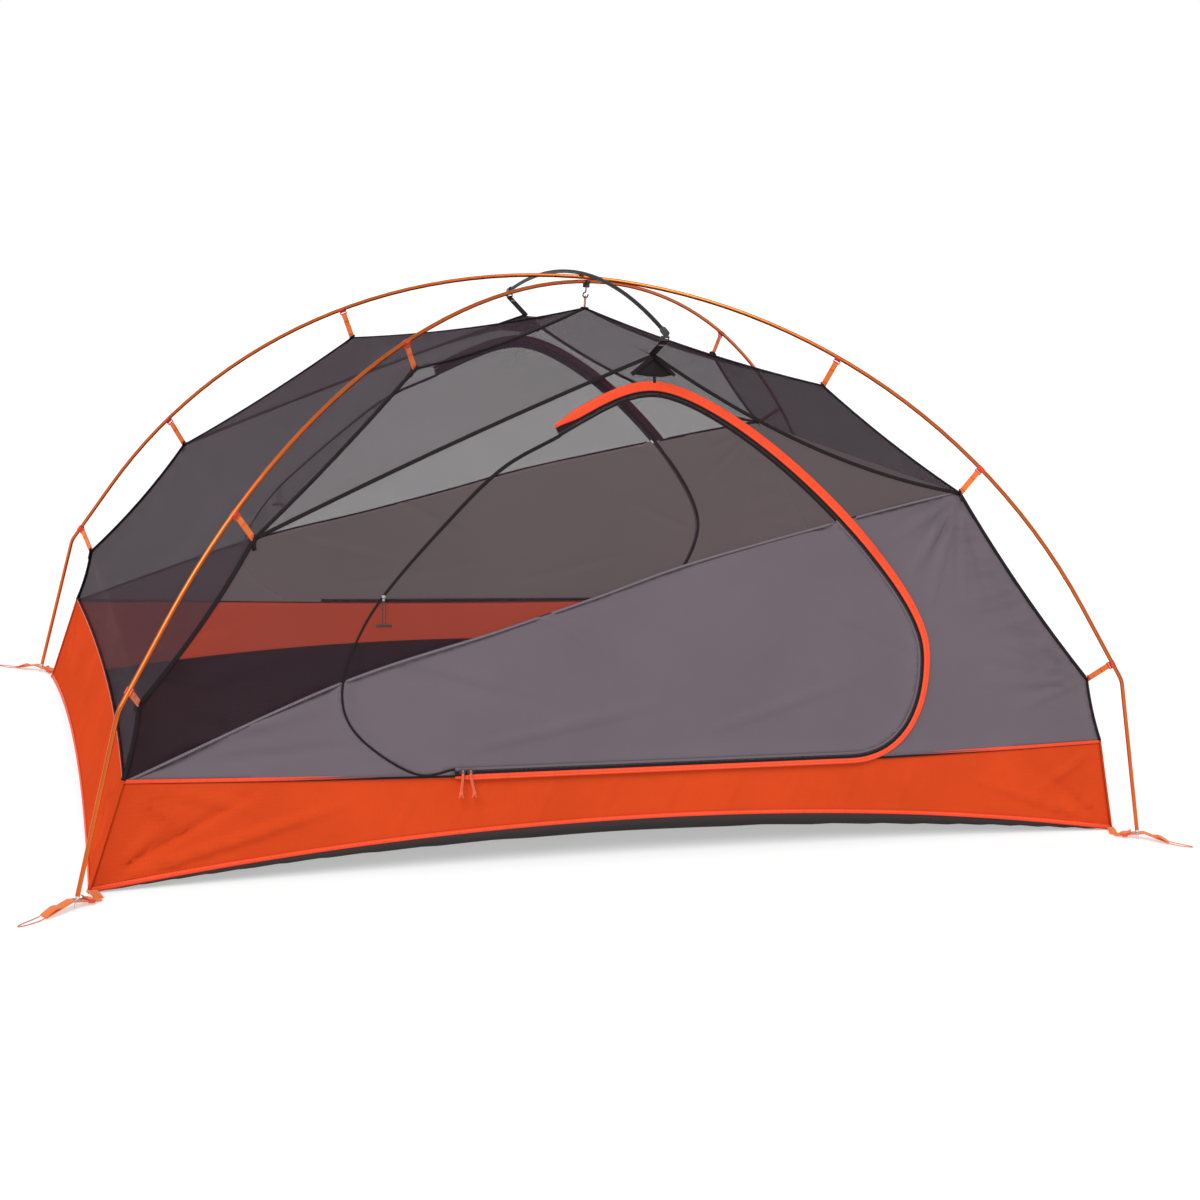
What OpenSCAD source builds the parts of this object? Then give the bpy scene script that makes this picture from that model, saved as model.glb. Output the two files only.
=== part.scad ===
// Free-standing two-person tent: a cloth cabin hung from two crossing bent poles and one short ridge pole.
// Frame: origin on the ground under the middle of the floor, X along the floor, front door at -Y, Z up.

/* [Cabin] */
// Length of the floor, along X
floor_l = 2240; // [2000:20:2700]
// Width of the floor, along Y
floor_w = 1370; // [1200:10:1650]
// Height of the cloth roof at its peak
cabin_h = 1057; // [950:5:1250]
// Height of the coloured floor wall at the four corners
tub_h = 212; // [150:2:260]
// How far the side walls lean in for each millimetre of height
wall_lean = 0.30; // [0.15:0.01:0.4]
// Thickness that each cloth panel is given
cloth_t = 1; // [0.6:0.1:1.5]

/* [Poles] */
// Height of the lower pole's centre line where the poles cross
pole_h = 1117; // [1020:5:1330]
// Outer diameter of every pole
pole_d = 8.7; // [8:0.1:11]
// Wall of every pole tube
pole_wall = 0.7; // [0.5:0.05:1]
// Straight-line reach of the ridge pole to each side
brow_reach = 529; // [400:5:600]
// Number of sections that each long pole folds into
pole_sections = 7; // [5:2:9]

/* [Doors] */
// Width of the storm flap that covers each zip
flap_w = 20; // [15:1:25]
// Width of the zip's chain of teeth
chain_w = 3.5; // [3:0.1:4.5]

/* [Corners] */
// Distance of the pole feet outside the floor's ends
foot_out_x = 27; // [15:1:50]
// Distance of the pole feet outside the floor's sides
foot_out_y = 60; // [40:1:90]
// Width of the corner straps
strap_w = 20; // [15:1:25]

/* [Hidden] */
$fn = 32;

orange = "orangered";
dark = "dimgray";
net = "gray";
black = "black";
metal = "silver";

// Clearances between pieces
seam_gap = 0.3;
pole_fit = 0.25;
moving_gap = 0.4;

// Scale of the wall outlines, which are drawn for a 2240 mm floor and a 1057 mm roof
sx = floor_l / 2240;
sz = cabin_h / 1057;

half_l = floor_l / 2;
half_w = floor_w / 2;

// Bow of a floor edge: 1 in the middle of a side, 0 at both corners
function bow(t, half) = 1 - pow(t / half, 2);

// How far the long floor edges and the short ones lift, and how far inside them the floor meets the ground
side_lift = 90;
side_run = 150;
end_lift = 45;
end_run = 75;
end_bow = 15;
tub_in_x = 60;
tub_in_y = 12;
tub_dip = 18;

function steps(a, b, n) = [for (i = [0 : n]) a + (b - a) * i / n];
function reverse(p) = [for (i = [len(p) - 1 : -1 : 0]) p[i]];
function unit(v) = v / norm(v);
function mix(a, b, t) = a + (b - a) * t;
function bezier(a, b, c, d, n) = [for (t = steps(0, 1, n))
  pow(1 - t, 3) * a + 3 * t * pow(1 - t, 2) * b + 3 * t * t * (1 - t) * c + pow(t, 3) * d];

// Moves its children from the origin to o, with their X along x and their Z along z
module place(o, x, z) {
  w = unit(z);
  u = unit(x - (x * w) * w);
  v = cross(w, u);
  multmatrix([[u.x, v.x, w.x, o.x], [u.y, v.y, w.y, o.y], [u.z, v.z, w.z, o.z], [0, 0, 0, 1]]) children();
}

function any_side(v) = abs(unit(v).z) < 0.9 ? [0, 0, 1] : [1, 0, 0];

// A round bar from a to b, cut back by gap at both ends
module rod(a, b, d, gap = 0) {
  place(a, any_side(b - a), b - a) translate([0, 0, gap]) cylinder(d = d, h = norm(b - a) - 2 * gap);
}

// A flat strap from a to b, with its width along side
module strap(a, b, w, t, side) {
  place(a, side, b - a) translate([-w / 2, -t / 2, 0]) cube([w, t, norm(b - a)]);
}

// A cloth panel through a grid of points, with row i thickened by the vector inward[i]
module panel(rows, inward, flip = false) {
  r = len(rows);
  c = len(rows[0]);
  outer = [for (row = rows) for (p = row) p];
  inner = [for (i = [0 : r - 1]) for (p = rows[i]) p + inward[i] * cloth_t];
  n = r * c;
  skin = [for (i = [0 : r - 2]) for (j = [0 : c - 2]) for (f = [
    [i * c + j, i * c + j + 1, (i + 1) * c + j + 1], [i * c + j, (i + 1) * c + j + 1, (i + 1) * c + j]]) f];
  rim = concat([for (j = [0 : c - 1]) j], [for (i = [1 : r - 1]) i * c + c - 1],
    [for (j = [c - 2 : -1 : 0]) (r - 1) * c + j], [for (i = [r - 2 : -1 : 1]) i * c]);
  m = len(rim);
  sides = [for (k = [0 : m - 1]) for (f = [
    [rim[k], n + rim[k], n + rim[(k + 1) % m]], [rim[k], n + rim[(k + 1) % m], rim[(k + 1) % m]]]) f];
  faces = concat(skin, [for (f = skin) [f[0] + n, f[2] + n, f[1] + n]], sides);
  polyhedron(concat(outer, inner), flip ? [for (f = faces) reverse(f)] : faces);
}

// ---- Floor and its walls ----

floor_gap = seam_gap + 1.2 * cloth_t;

module floor_sheet() {
  long_side = [for (x = steps(-half_l, half_l, 24)) [x, -half_w + side_run * bow(x, half_l) + floor_gap]];
  short_side = [for (y = steps(-half_w, half_w, 16)) [half_l - end_run * bow(y, half_w) - floor_gap, y]];
  half_edge = concat([for (i = [1 : 23]) long_side[i]], [[half_l, -half_w]], [for (i = [1 : 15]) short_side[i]],
    [[half_l, half_w]]);
  color(dark) linear_extrude(cloth_t) polygon(concat(half_edge, [for (p = half_edge) -p]));
}

hem_end = 25;

module side_hem() {
  xs = steps(-half_l + hem_end, half_l - hem_end, 20);
  ground = [for (x = xs) [x, -half_w + side_run * bow(x, half_l), 0]];
  seam = [for (x = xs) [x, -half_w, side_lift * bow(x, half_l)]];
  inward = unit([0, side_lift, side_run]);
  panel([ground, seam], [inward, inward], true);
}

module end_hem() {
  ys = steps(-half_w + hem_end, half_w - hem_end, 14);
  ground = [for (y = ys) [-half_l + end_run * bow(y, half_w), y, 0]];
  seam = [for (y = ys) [-half_l + end_bow * bow(y, half_w), y, end_lift * bow(y, half_w)]];
  inward = unit([end_lift, 0, end_run]);
  panel([ground, seam], [inward, inward]);
}

module floor_hems() {
  color(dark) for (k = [0, 1]) {
    mirror([0, k, 0]) side_hem();
    mirror([k, 0, 0]) end_hem();
  }
}

corner_gap = 3;
wall_foot = cloth_t + 0.1;
function tub_top(x) = tub_h - tub_dip * bow(x, half_l);

module floor_wall_side() {
  low = [for (x = steps(-half_l + corner_gap, half_l - corner_gap, 20))
    [x, -half_w, side_lift * bow(x, half_l) + wall_foot]];
  top_l = half_l - tub_in_x - corner_gap;
  top = [for (x = steps(-top_l, top_l, 20)) [x, -half_w + tub_in_y, tub_top(x) - seam_gap]];
  color(orange) panel([low, top], [[0, 1, 0], [0, 1, 0]], true);
}

function tub_end(y) = [-half_l + tub_in_x + 20 * bow(y, half_w), y, tub_h];

module floor_wall_end() {
  low_w = half_w - corner_gap;
  low = [for (y = steps(-low_w, low_w, 14))
    [-half_l + end_bow * bow(y, half_w), y, end_lift * bow(y, half_w) + wall_foot]];
  top_w = half_w - tub_in_y - corner_gap;
  top = [for (y = steps(-top_w, top_w, 14)) tub_end(y) - [0, 0, seam_gap]];
  color(orange) panel([low, top], [[1, 0, 0], [1, 0, 0]]);
}

// ---- Cabin corners: the points where the canopy is held ----

// Y of the front wall's plane at height z
function wall_y(z) = -half_w + tub_in_y + wall_lean * (z - tub_h);

function on_wall(x, z) = [x, wall_y(z), z];

tub_corner = on_wall(half_l - tub_in_x, tub_h);
hold_low = on_wall(1030 * sx, 344 * sz);
hold_mid_left = on_wall(818 * sx, 634 * sz);
hold_mid_right = on_wall(716 * sx, 739 * sz);
hold_top = [465 * sx, -304 * floor_w / 1370, 937 * sz];
peak = [0, 0, cabin_h];
apex = on_wall(0, 1000 * sz);

function mirrored(p, mx, my) = [p.x * mx, p.y * my, p.z];

// The held points of one leg, from the floor wall up to the peak: side is -1 for left, 1 for right
function leg_points(side, my) = [for (p = [tub_corner, hold_low, side < 0 ? hold_mid_left : hold_mid_right,
  hold_top, peak]) mirrored(p, side, my)];

// ---- End panels ----

seam_in = 3.5;
end_cols = 10;

function end_row(p, bulge) = [for (y = steps(p.y + seam_in, -p.y - seam_in, end_cols))
  [-p.x + bulge * bow(y, p.y), y, p.z]];

tub_row = [for (y = steps(tub_corner.y + seam_in, -tub_corner.y - seam_in, end_cols)) tub_end(y) + [0, 0, seam_gap]];
low_in = unit([1, 0, -0.15]);
mid_in = unit([1, 0, -0.9]);
top_in = unit([0.4, 0, -1]);
peak_in = unit([0.25, 0, -1]);
peak_half = 3;
peak_x = -(peak_half + 1.25 * seam_in) * hold_top.x / hold_top.y;
peak_row = [for (y = steps(-peak_half, peak_half, end_cols))
  [-peak_x, y, mix(cabin_h, hold_top.z, peak_x / hold_top.x)]];

module left_end_mesh() {
  color(net) panel([tub_row, end_row(hold_low, 8), end_row(hold_mid_left, 0), end_row(hold_top, 0), peak_row],
    [[1, 0, 0], low_in, mid_in, top_in, peak_in]);
}

module right_end_cloth() {
  color(dark) mirror([1, 0, 0]) panel([tub_row, end_row(hold_low, 8), end_row(mix(hold_mid_right, hold_low, 0.002), 0)],
    [[1, 0, 0], low_in, mid_in]);
}

module right_end_mesh() {
  color(net) mirror([1, 0, 0]) panel([end_row(mix(hold_mid_right, hold_top, 0.006), 0), end_row(hold_top, 0),
    peak_row], [mid_in, top_in, peak_in]);
}

// ---- Roof panels, from the walls' top seams up to the peak ----

seam_n = 8;
// Sag of the wall's top seam to each side of the apex
sag_left = -8;
sag_right = 42;

// Outline of the wall's top edge, in X and Z, from the left held point over the apex to the right one
function top_seam(drop) = concat(
  [for (t = steps(0, 1, seam_n)) mix([-hold_mid_left.x, hold_mid_left.z], [0, apex.z], t)
    - [0, sag_left * sz * 4 * t * (1 - t) + drop]],
  [for (i = [1 : seam_n]) let (t = i / seam_n) mix([0, apex.z], [hold_mid_right.x, hold_mid_right.z], t)
    - [0, sag_right * sz * 4 * t * (1 - t) + drop]]);

roof_in = unit([0, 0.3, -1]);
roof_edge = 10;

module roof_panel() {
  low = [for (p = top_seam(0)) on_wall(p.x, p.y) + [0, 2, 1]];
  ridge_l = [for (t = steps(0, 1, seam_n / 2)) mix(mirrored(hold_mid_left, -1, 1), mirrored(hold_top, -1, 1), t)];
  ridge_t = [for (i = [1 : seam_n / 2]) mix(mirrored(hold_top, -1, 1), peak, i * 2 / seam_n)];
  ridge_u = [for (i = [1 : seam_n / 2]) mix(peak, hold_top, i * 2 / seam_n)];
  ridge_r = [for (i = [1 : seam_n / 2]) mix(hold_top, hold_mid_right, i * 2 / seam_n)];
  ridge = concat(ridge_l, ridge_t, ridge_u, ridge_r);
  high = [for (p = ridge) p + [0, -seam_in - 1.5, 0]];
  last = len(low) - 1;
  inset = [for (i = [1 : last - 1]) low[i]];
  inset_high = [for (i = [1 : last - 1]) high[i]];
  panel([inset, inset_high], [roof_in, roof_in], true);
}

// ---- Side walls: flat panels drawn in X and Z and laid on the leaning plane ----

slope = sqrt(1 + wall_lean * wall_lean);
seam_drop = 2.2;

// Draws its 2D children, given in X and height above the tub corner along the slope, on the front wall's plane
module on_front_wall(lift = 0) {
  up = [0, wall_lean, 1] / slope;
  out = cross([1, 0, 0], up);
  multmatrix([[1, 0, 0, 0], [0, up.y, out.y, wall_y(tub_h)], [0, up.z, out.z, tub_h], [0, 0, 0, 1]])
    translate([0, 0, lift]) children();
}

function to_wall(p) = [p.x, (p.y - tub_h) * slope];

// Edge of the storm flap, clockwise from the door's upper corner over the top and along the floor wall
flap_low = 178;
door_top = [-222, 862];
door_crest = [0, 949];
door_shoulder = [492, 640];
door_side = [634, 400];
door_heel = [430, flap_low];
door_foot = [-436, flap_low];

function door_curve() = let (k = [sx, sz]) [for (p = concat(
  bezier(door_top, [-130, 912], [-70, 949], door_crest, 8),
  bezier(door_crest, [110, 949], [330, 810], door_shoulder, 14),
  bezier(door_shoulder, [560, 566], [636, 480], door_side, 8),
  bezier(door_side, [632, 270], [560, flap_low], door_heel, 12),
  [for (q = steps(door_heel.x, door_foot.x, 2)) [q, flap_low]])) to_wall([p.x * k.x, p.y * k.y])];

function tidy(p) = [for (i = [0 : len(p) - 1]) if (i == 0 || norm(p[i] - p[i - 1]) > 0.01) p[i]];

zip_line = tidy(door_curve());

// The zip line moved inwards by d
function zip_at(d) = let (p = zip_line, n = len(p)) [for (i = [0 : n - 1])
  let (a = p[max(i - 1, 0)], b = p[min(i + 1, n - 1)], t = unit(b - a)) p[i] + d * [t.y, -t.x]];

hole_at = 18;
tape_at = 18.3;
chain_at = tape_at + 6;
door_at = chain_at + chain_w + 3.5;

door_outline = zip_at(door_at);
fold_low = door_outline[len(door_outline) - 1];
fold_top = door_outline[0];

// Line between the clear mesh above and the opaque cloth below
cloth_line = [for (p = [[-1055, 210], [-657, 372], [-345, 462], [-127, 528], [76, 592], [433, 680], [677, 735],
  [716, 739]]) to_wall([p.x * sx, p.y * sz])];

module below_cloth_line(shift) {
  polygon(concat([for (p = cloth_line) p + [0, shift]], [[1300 * sx, 640 * sz], [1300 * sx, -300], [-1300 * sx, -300],
    [-1300 * sx, 0]]));
}

module wall_outline() {
  edge = concat(
    [for (p = [tub_corner, hold_low]) to_wall([-p.x + seam_in, p.z])],
    [for (i = [0 : len(top_seam(0)) - 1]) let (p = top_seam(seam_drop)[i])
      to_wall([i == 0 ? p.x + seam_in : i == 2 * seam_n ? p.x - seam_in : p.x, p.y])],
    [for (p = [hold_low, tub_corner]) to_wall([p.x - seam_in, p.z])],
    [for (x = steps(half_l - tub_in_x - seam_in, -half_l + tub_in_x + seam_in, 12))
      to_wall([x, tub_top(x) + seam_gap])]);
  polygon(edge);
}

module door_hole() {
  hole = zip_at(hole_at);
  polygon(concat(hole, [fold_low - [1, 20], fold_low + [-1, 0], fold_top + [-1, 0]]));
}

module wall_cloth() {
  color(dark) on_front_wall(-cloth_t) linear_extrude(cloth_t) intersection() {
    difference() {
      wall_outline();
      door_hole();
    }
    below_cloth_line(0);
  }
}

module wall_mesh() {
  color(net) on_front_wall(-cloth_t) linear_extrude(cloth_t) difference() {
    wall_outline();
    door_hole();
    below_cloth_line(seam_gap);
  }
}

module door_cloth() {
  color(dark) on_front_wall(-cloth_t) linear_extrude(cloth_t) intersection() {
    polygon(door_outline);
    below_cloth_line(0);
  }
}

module door_mesh() {
  color(net) on_front_wall(-cloth_t) linear_extrude(cloth_t) difference() {
    polygon(door_outline);
    below_cloth_line(seam_gap);
  }
}

module storm_flap() {
  color(orange) on_front_wall(seam_gap) linear_extrude(cloth_t) polygon(concat(zip_at(0), reverse(zip_at(flap_w))));
}

chain_t = 2.4;
tape_t = 0.8;

module zip_band(from, to, t) {
  translate([0, 0, -cloth_t / 2 - t / 2]) linear_extrude(t) polygon(concat(zip_at(from), reverse(zip_at(to))));
}

module zip_chain() {
  color(black) on_front_wall() union() {
    zip_band(tape_at, chain_at + 0.5, tape_t);
    zip_band(chain_at, chain_at + chain_w, chain_t);
  }
}

// ---- Seam bindings ----

binding_d = 5;

module binding_run(points) {
  for (i = [0 : len(points) - 2]) rod(points[i], points[i + 1], binding_d, 3.6);
}

module seam_bindings() {
  color(black) {
    for (side = [-1, 1]) for (my = [-1, 1]) {
      run = leg_points(side, -my);
      binding_run(run);
      for (i = [0 : 3]) translate(run[i]) sphere(d = binding_d);
    }
    translate(peak) sphere(d = binding_d);
    for (k = [0, 1]) mirror([0, k, 0]) {
      seam = [for (p = top_seam(0)) on_wall(p.x, p.y)];
      last = 2 * seam_n - 2;
      for (i = [0 : 2 : last]) rod(seam[i], seam[i + 2], binding_d * 0.6, i == 0 ? 4 : i == last ? 9 : 2);
    }
  }
}

// ---- Poles: a long arc, a straight stretch, a pre-bent elbow and a leg, in the upright plane through two feet ----

foot = [half_l + foot_out_x, half_w + foot_out_y];
foot_d = norm(foot);
pole_turn = atan2(foot.y, foot.x);
arc_r = 1.045 * foot_d;
arc_a = 55.2;
straight = 0.128 * foot_d;
elbow_r = 60;
tip_shift = 0.7;

// The heights of the two crossing poles and of the ridge pole over them
pole_a_h = pole_h;
pole_b_h = pole_h + pole_d + seam_gap;
brow_h = pole_b_h + pole_d + seam_gap;

function turn(a) = [cos(a), -sin(a)];
function side_of(a) = [sin(a), cos(a)];
function elbow_c(h) = [0, h - arc_r] + (arc_r - elbow_r) * side_of(arc_a) + straight * turn(arc_a);
function leg_v(h) = [foot_d, tip_shift] - elbow_c(h);
function leg_a(h) = atan2(-leg_v(h).y, leg_v(h).x) + asin(elbow_r / norm(leg_v(h)));
function leg_l(h) = sqrt(pow(norm(leg_v(h)), 2) - elbow_r * elbow_r);

arc_l = arc_r * arc_a * PI / 180;
bend_at = arc_l + straight;
function bend_l(h) = elbow_r * (leg_a(h) - arc_a) * PI / 180;
function pole_l(h) = bend_at + bend_l(h) + leg_l(h);

// Angle below level, and place in the pole's own plane, of the point s along the pole from its top
function pole_angle(s, h) = s < arc_l ? s / arc_r * 180 / PI : s < bend_at ? arc_a
  : min(arc_a + (s - bend_at) / elbow_r * 180 / PI, leg_a(h));
function pole_point(s, h) = s < arc_l ? [0, h - arc_r] + arc_r * side_of(pole_angle(s, h))
  : s < bend_at ? [0, h - arc_r] + arc_r * side_of(arc_a) + (s - arc_l) * turn(arc_a)
  : s < bend_at + bend_l(h) ? elbow_c(h) + elbow_r * side_of(pole_angle(s, h))
  : elbow_c(h) + elbow_r * side_of(leg_a(h)) + (s - bend_at - bend_l(h)) * turn(leg_a(h));

// Sweeps its round 2D child over an arc in the XZ plane, from angle a to angle b below the arc's top
module arc_sweep(r, a, b) {
  rotate([90, 0, 0]) rotate([0, 0, 90 - b]) rotate_extrude(angle = b - a, $fn = 128) translate([r, 0]) children();
}

module straight_sweep(p, a, l) {
  place([p.x, 0, p.y], [0, 1, 0], [cos(a), 0, -sin(a)]) linear_extrude(l) children();
}

// Thin collar that joins two stretches of one bent tube at the point s
module collar(s, h, outer, inner) {
  p = pole_point(s, h);
  a = pole_angle(s, h);
  place([p.x, 0, p.y], [0, 1, 0], [cos(a), 0, -sin(a)]) translate([0, 0, -1]) difference() {
    cylinder(d = outer + collar_lip, h = 2);
    if (inner > 0) translate([0, 0, -1]) cylinder(d = inner - collar_lip, h = 4);
  }
}

// Sweeps its 2D child along one half of a pole, from s0 to s1
module half_pole(s0, s1, h) {
  e = bend_at + bend_l(h);
  if (s0 < arc_l) translate([0, 0, h - arc_r])
    arc_sweep(arc_r, s0 / arc_r * 180 / PI, min(s1, arc_l) / arc_r * 180 / PI) children();
  if (s1 > arc_l && s0 < bend_at) straight_sweep(pole_point(max(s0, arc_l), h), arc_a,
    min(s1, bend_at) - max(s0, arc_l)) children();
  if (s1 > bend_at && s0 < e) translate([elbow_c(h).x, 0, elbow_c(h).y])
    arc_sweep(elbow_r, arc_a, leg_a(h)) children();
  if (s1 > e) straight_sweep(pole_point(max(s0, e), h), leg_a(h), s1 - max(s0, e)) children();
}

module pole_plane(which) {
  rotate([0, 0, which == 0 ? pole_turn : -pole_turn]) children();
}

function height_of(which) = which == 0 ? pole_a_h : pole_b_h;

tip_l = 22;
collar_lip = 0.1;
ferrule_l = 70;
bore_d = pole_d - 2 * pole_wall;
plug_d = bore_d - 2 * pole_fit;
cord_d = 2.5;
middle_l = 2 * arc_l / (pole_sections - 2);
joint_gap = 0.3;

module ring(outer, inner) {
  difference() {
    circle(d = outer);
    circle(d = inner);
  }
}

// The sections of one long pole: one over the top, equal ones down the arc, and a pre-bent one at each end
module main_pole(which) {
  h = height_of(which);
  l = middle_l;
  color(orange) pole_plane(which) {
    middle_a = l / 2 / arc_r * 180 / PI;
    translate([0, 0, h - arc_r]) arc_sweep(arc_r, -middle_a, middle_a) ring(pole_d, bore_d);
    for (k = [0, 1]) mirror([k, 0, 0]) {
      for (i = [1 : (pole_sections - 3) / 2])
        half_pole((i - 0.5) * l + joint_gap, (i + 0.5) * l, h) ring(pole_d, bore_d);
      half_pole(arc_l + joint_gap, pole_l(h) - tip_l, h) ring(pole_d, bore_d);
      for (s = [bend_at, bend_at + bend_l(h)]) collar(s, h, pole_d, bore_d);
    }
  }
}

module main_pole_a() {
  main_pole(0);
}

module main_pole_b() {
  main_pole(1);
}

// Tubes inside the joints between sections
module pole_ferrules() {
  color(metal) for (which = [0, 1]) {
    h = height_of(which);
    pole_plane(which) for (k = [0, 1]) mirror([k, 0, 0]) for (i = [1 : (pole_sections - 1) / 2]) {
      s = (i - 0.5) * middle_l;
      half_pole(s - ferrule_l / 2, min(s + ferrule_l / 2, arc_l), h) ring(plug_d, plug_d - 2 * pole_wall);
      if (s + ferrule_l / 2 > arc_l) {
        half_pole(arc_l, s + ferrule_l / 2, h) ring(plug_d, plug_d - 2 * pole_wall);
        collar(arc_l, h, plug_d, plug_d - 2 * pole_wall);
      }
    }
  }
}

// The elastic cord that runs through a whole pole
module shock_cord(which) {
  h = height_of(which);
  end = pole_l(h) - tip_l - 15 - seam_gap;
  color(black) pole_plane(which) {
    translate([0, 0, h - arc_r]) arc_sweep(arc_r, -arc_a, arc_a) circle(d = cord_d);
    for (k = [0, 1]) mirror([k, 0, 0]) {
      half_pole(arc_l, end, h) circle(d = cord_d);
      for (s = [arc_l, bend_at, bend_at + bend_l(h)]) collar(s, h, cord_d, 0);
    }
  }
}

module shock_cord_a() {
  shock_cord(0);
}

module shock_cord_b() {
  shock_cord(1);
}

// The frame of a pole's foot: its tip's end at the origin, Z up the leg and X outwards
module at_feet() {
  for (which = [0, 1]) for (k = [0, 1]) pole_plane(which) mirror([k, 0, 0]) {
    a = leg_a(height_of(which));
    place([foot_d, 0, tip_shift], [sin(a), 0, cos(a)], [-cos(a), 0, sin(a)]) children();
  }
}

strap_z = 14;
strap_t = 2;
spigot_d = 5.4;
grommet_d = 16;

module pole_tips() {
  color(metal) at_feet() {
    cylinder(d = spigot_d, h = 17);
    translate([0, 0, 17]) cylinder(d = pole_d, h = tip_l - 17 - 0.01);
    translate([0, 0, tip_l - 1]) cylinder(d = plug_d, h = 16);
  }
}

// ---- Corner straps ----

barrel_d = 9;

// The outline of a strip of thickness t that follows the 2D points p, with mitred bends
function strip(p, t) = let (
    way = [for (i = [0 : len(p) - 2]) unit(p[i + 1] - p[i])],
    n = len(way),
    mean = [for (i = [0 : n]) i == 0 ? way[0] : i == n ? way[n - 1] : unit(way[i - 1] + way[i])],
    off = [for (i = [0 : n]) t / 2 / (mean[i] * way[min(i, n - 1)]) * [-mean[i].y, mean[i].x]])
  concat([for (i = [0 : n]) p[i] + off[i]], [for (i = [n : -1 : 0]) p[i] - off[i]]);

module corner_straps() {
  inner = [-44, strap_z];
  outer = [14, strap_z];
  run = [inner + 6.5 * [-cos(14), sin(14)], inner, outer, outer + 57.5 * [cos(28), -sin(28)]];
  color(orange) at_feet() difference() {
    rotate([90, 0, 0]) linear_extrude(strap_w, center = true) polygon(strip(run, strap_t));
    translate([0, 0, strap_z - 5]) cylinder(d = barrel_d + 2 * seam_gap, h = 10);
  }
}

module corner_grommets() {
  flange = 0.8;
  color(metal) at_feet() difference() {
    union() {
      for (z = [strap_z - strap_t / 2 - flange - 0.1, strap_z + strap_t / 2 + 0.1]) translate([0, 0, z])
        cylinder(d = grommet_d, h = flange);
      translate([0, 0, strap_z - strap_t / 2 - 0.5]) cylinder(d = barrel_d, h = strap_t + 1);
    }
    cylinder(d = spigot_d + 2 * moving_gap, h = 3 * strap_z);
  }
}

buckle_x = -27;

// A slotted buckle round the strap: sx and sy pick the corner
module buckle(side, my) {
  which = side * my > 0 ? 0 : 1;
  a = leg_a(height_of(which));
  slot = [strap_w + 2 * moving_gap, strap_t + 2 * moving_gap];
  bar = 2;
  color(black) pole_plane(which) mirror([side > 0 ? 0 : 1, 0, 0])
    place([foot_d, 0, tip_shift], [sin(a), 0, cos(a)], [-cos(a), 0, sin(a)]) translate([buckle_x, 0, strap_z])
      difference() {
        cube([12, slot.x + 2 * bar, slot.y + 2 * bar * 0.8], center = true);
        cube([20, slot.x, slot.y], center = true);
      }
}

module buckle_front_left() {
  buckle(-1, -1);
}

module buckle_front_right() {
  buckle(1, -1);
}

module buckle_rear_left() {
  buckle(-1, 1);
}

module buckle_rear_right() {
  buckle(1, 1);
}

// A tube swept along a list of points by parallel rings of 8 corners
module cord_tube(points, d) {
  n = len(points);
  sides = 8;
  function along(i) = unit(points[min(i + 1, n - 1)] - points[max(i - 1, 0)]);
  function across(i) = unit(cross(along(i), [0, 0, 1]));
  rings = [for (i = [0 : n - 1]) let (u = across(i), v = cross(along(i), u)) for (k = [0 : sides - 1])
    points[i] + d / 2 * (u * cos(k * 360 / sides) + v * sin(k * 360 / sides))];
  walls = [for (i = [0 : n - 2]) for (k = [0 : sides - 1]) let (a = i * sides + k, b = i * sides + (k + 1) % sides)
    for (f = [[a, b, b + sides], [a, b + sides, a + sides]]) f];
  ends = [for (k = [1 : sides - 2]) for (f = [[0, k + 1, k], [(n - 1) * sides, (n - 1) * sides + k,
    (n - 1) * sides + k + 1]]) f];
  polyhedron(rings, [for (f = concat(walls, ends)) f]);
}

stake_d = 2;
// Route of a stake loop from the pole's foot outwards: out along one side of the strap's end and back along the other
stake_route = [[66.8, 7, 3.8], [72, 7, 2.8], [80, 7, 2], [90, 6.5, 1.4], [100, 5.5, 1.2], [109, 4, 1.2],
  [115, 2.5, 1.2], [118, 0, 1.2], [115, -2.5, 1.2], [109, -4, 1.2], [100, -5.5, 1.2], [90, -6.5, 1.4], [80, -7, 2],
  [72, -7, 2.8], [66.8, -7, 3.8]];

module stake_loop(side, my) {
  color(orange) mirror([side < 0 ? 1 : 0, 0, 0]) mirror([0, my < 0 ? 1 : 0, 0]) rotate([0, 0, pole_turn])
    translate([foot_d, 0, 0]) cord_tube(stake_route, stake_d);
}

module stake_loop_front_left() {
  stake_loop(-1, -1);
}

module stake_loop_front_right() {
  stake_loop(1, -1);
}

module stake_loop_rear_left() {
  stake_loop(-1, 1);
}

module stake_loop_rear_right() {
  stake_loop(1, 1);
}

// ---- Clips on the poles and their cloth tabs ----

clip_wall = 2.2;
clip_r = pole_d / 2 + pole_fit + clip_wall;
clip_l = 14;
eye_in = clip_r + 1.2;
eye_slot = 2.6;
eye_bar = 2.3;
eye_half = 6.5;
tab_w = 12;
tab_t = 1.6;
tab_end = 4.4;

// Distance down each pole of its clips: low, middle and top, with the middle ones higher on the right
clip_low = bend_at - 30;
clip_mid_left = arc_r * 45.75 * PI / 180;
clip_mid_right = arc_r * 40 * PI / 180;
clip_top = arc_r * 24.1 * PI / 180;
function clip_run(side) = [clip_low, side < 0 ? clip_mid_left : clip_mid_right, clip_top];

// Place in space, and direction along the pole, of a point s down the leg at one corner
function leg_height(side, my) = height_of(side * my > 0 ? 0 : 1);
function leg_place(s, side, my) = let (p = pole_point(s, leg_height(side, my)))
  [side * p.x * cos(pole_turn), my * p.x * sin(pole_turn), p.y];
function leg_dir(s, side, my) = let (a = pole_angle(s, leg_height(side, my)))
  [side * cos(a) * cos(pole_turn), my * cos(a) * sin(pole_turn), -sin(a)];

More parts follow.
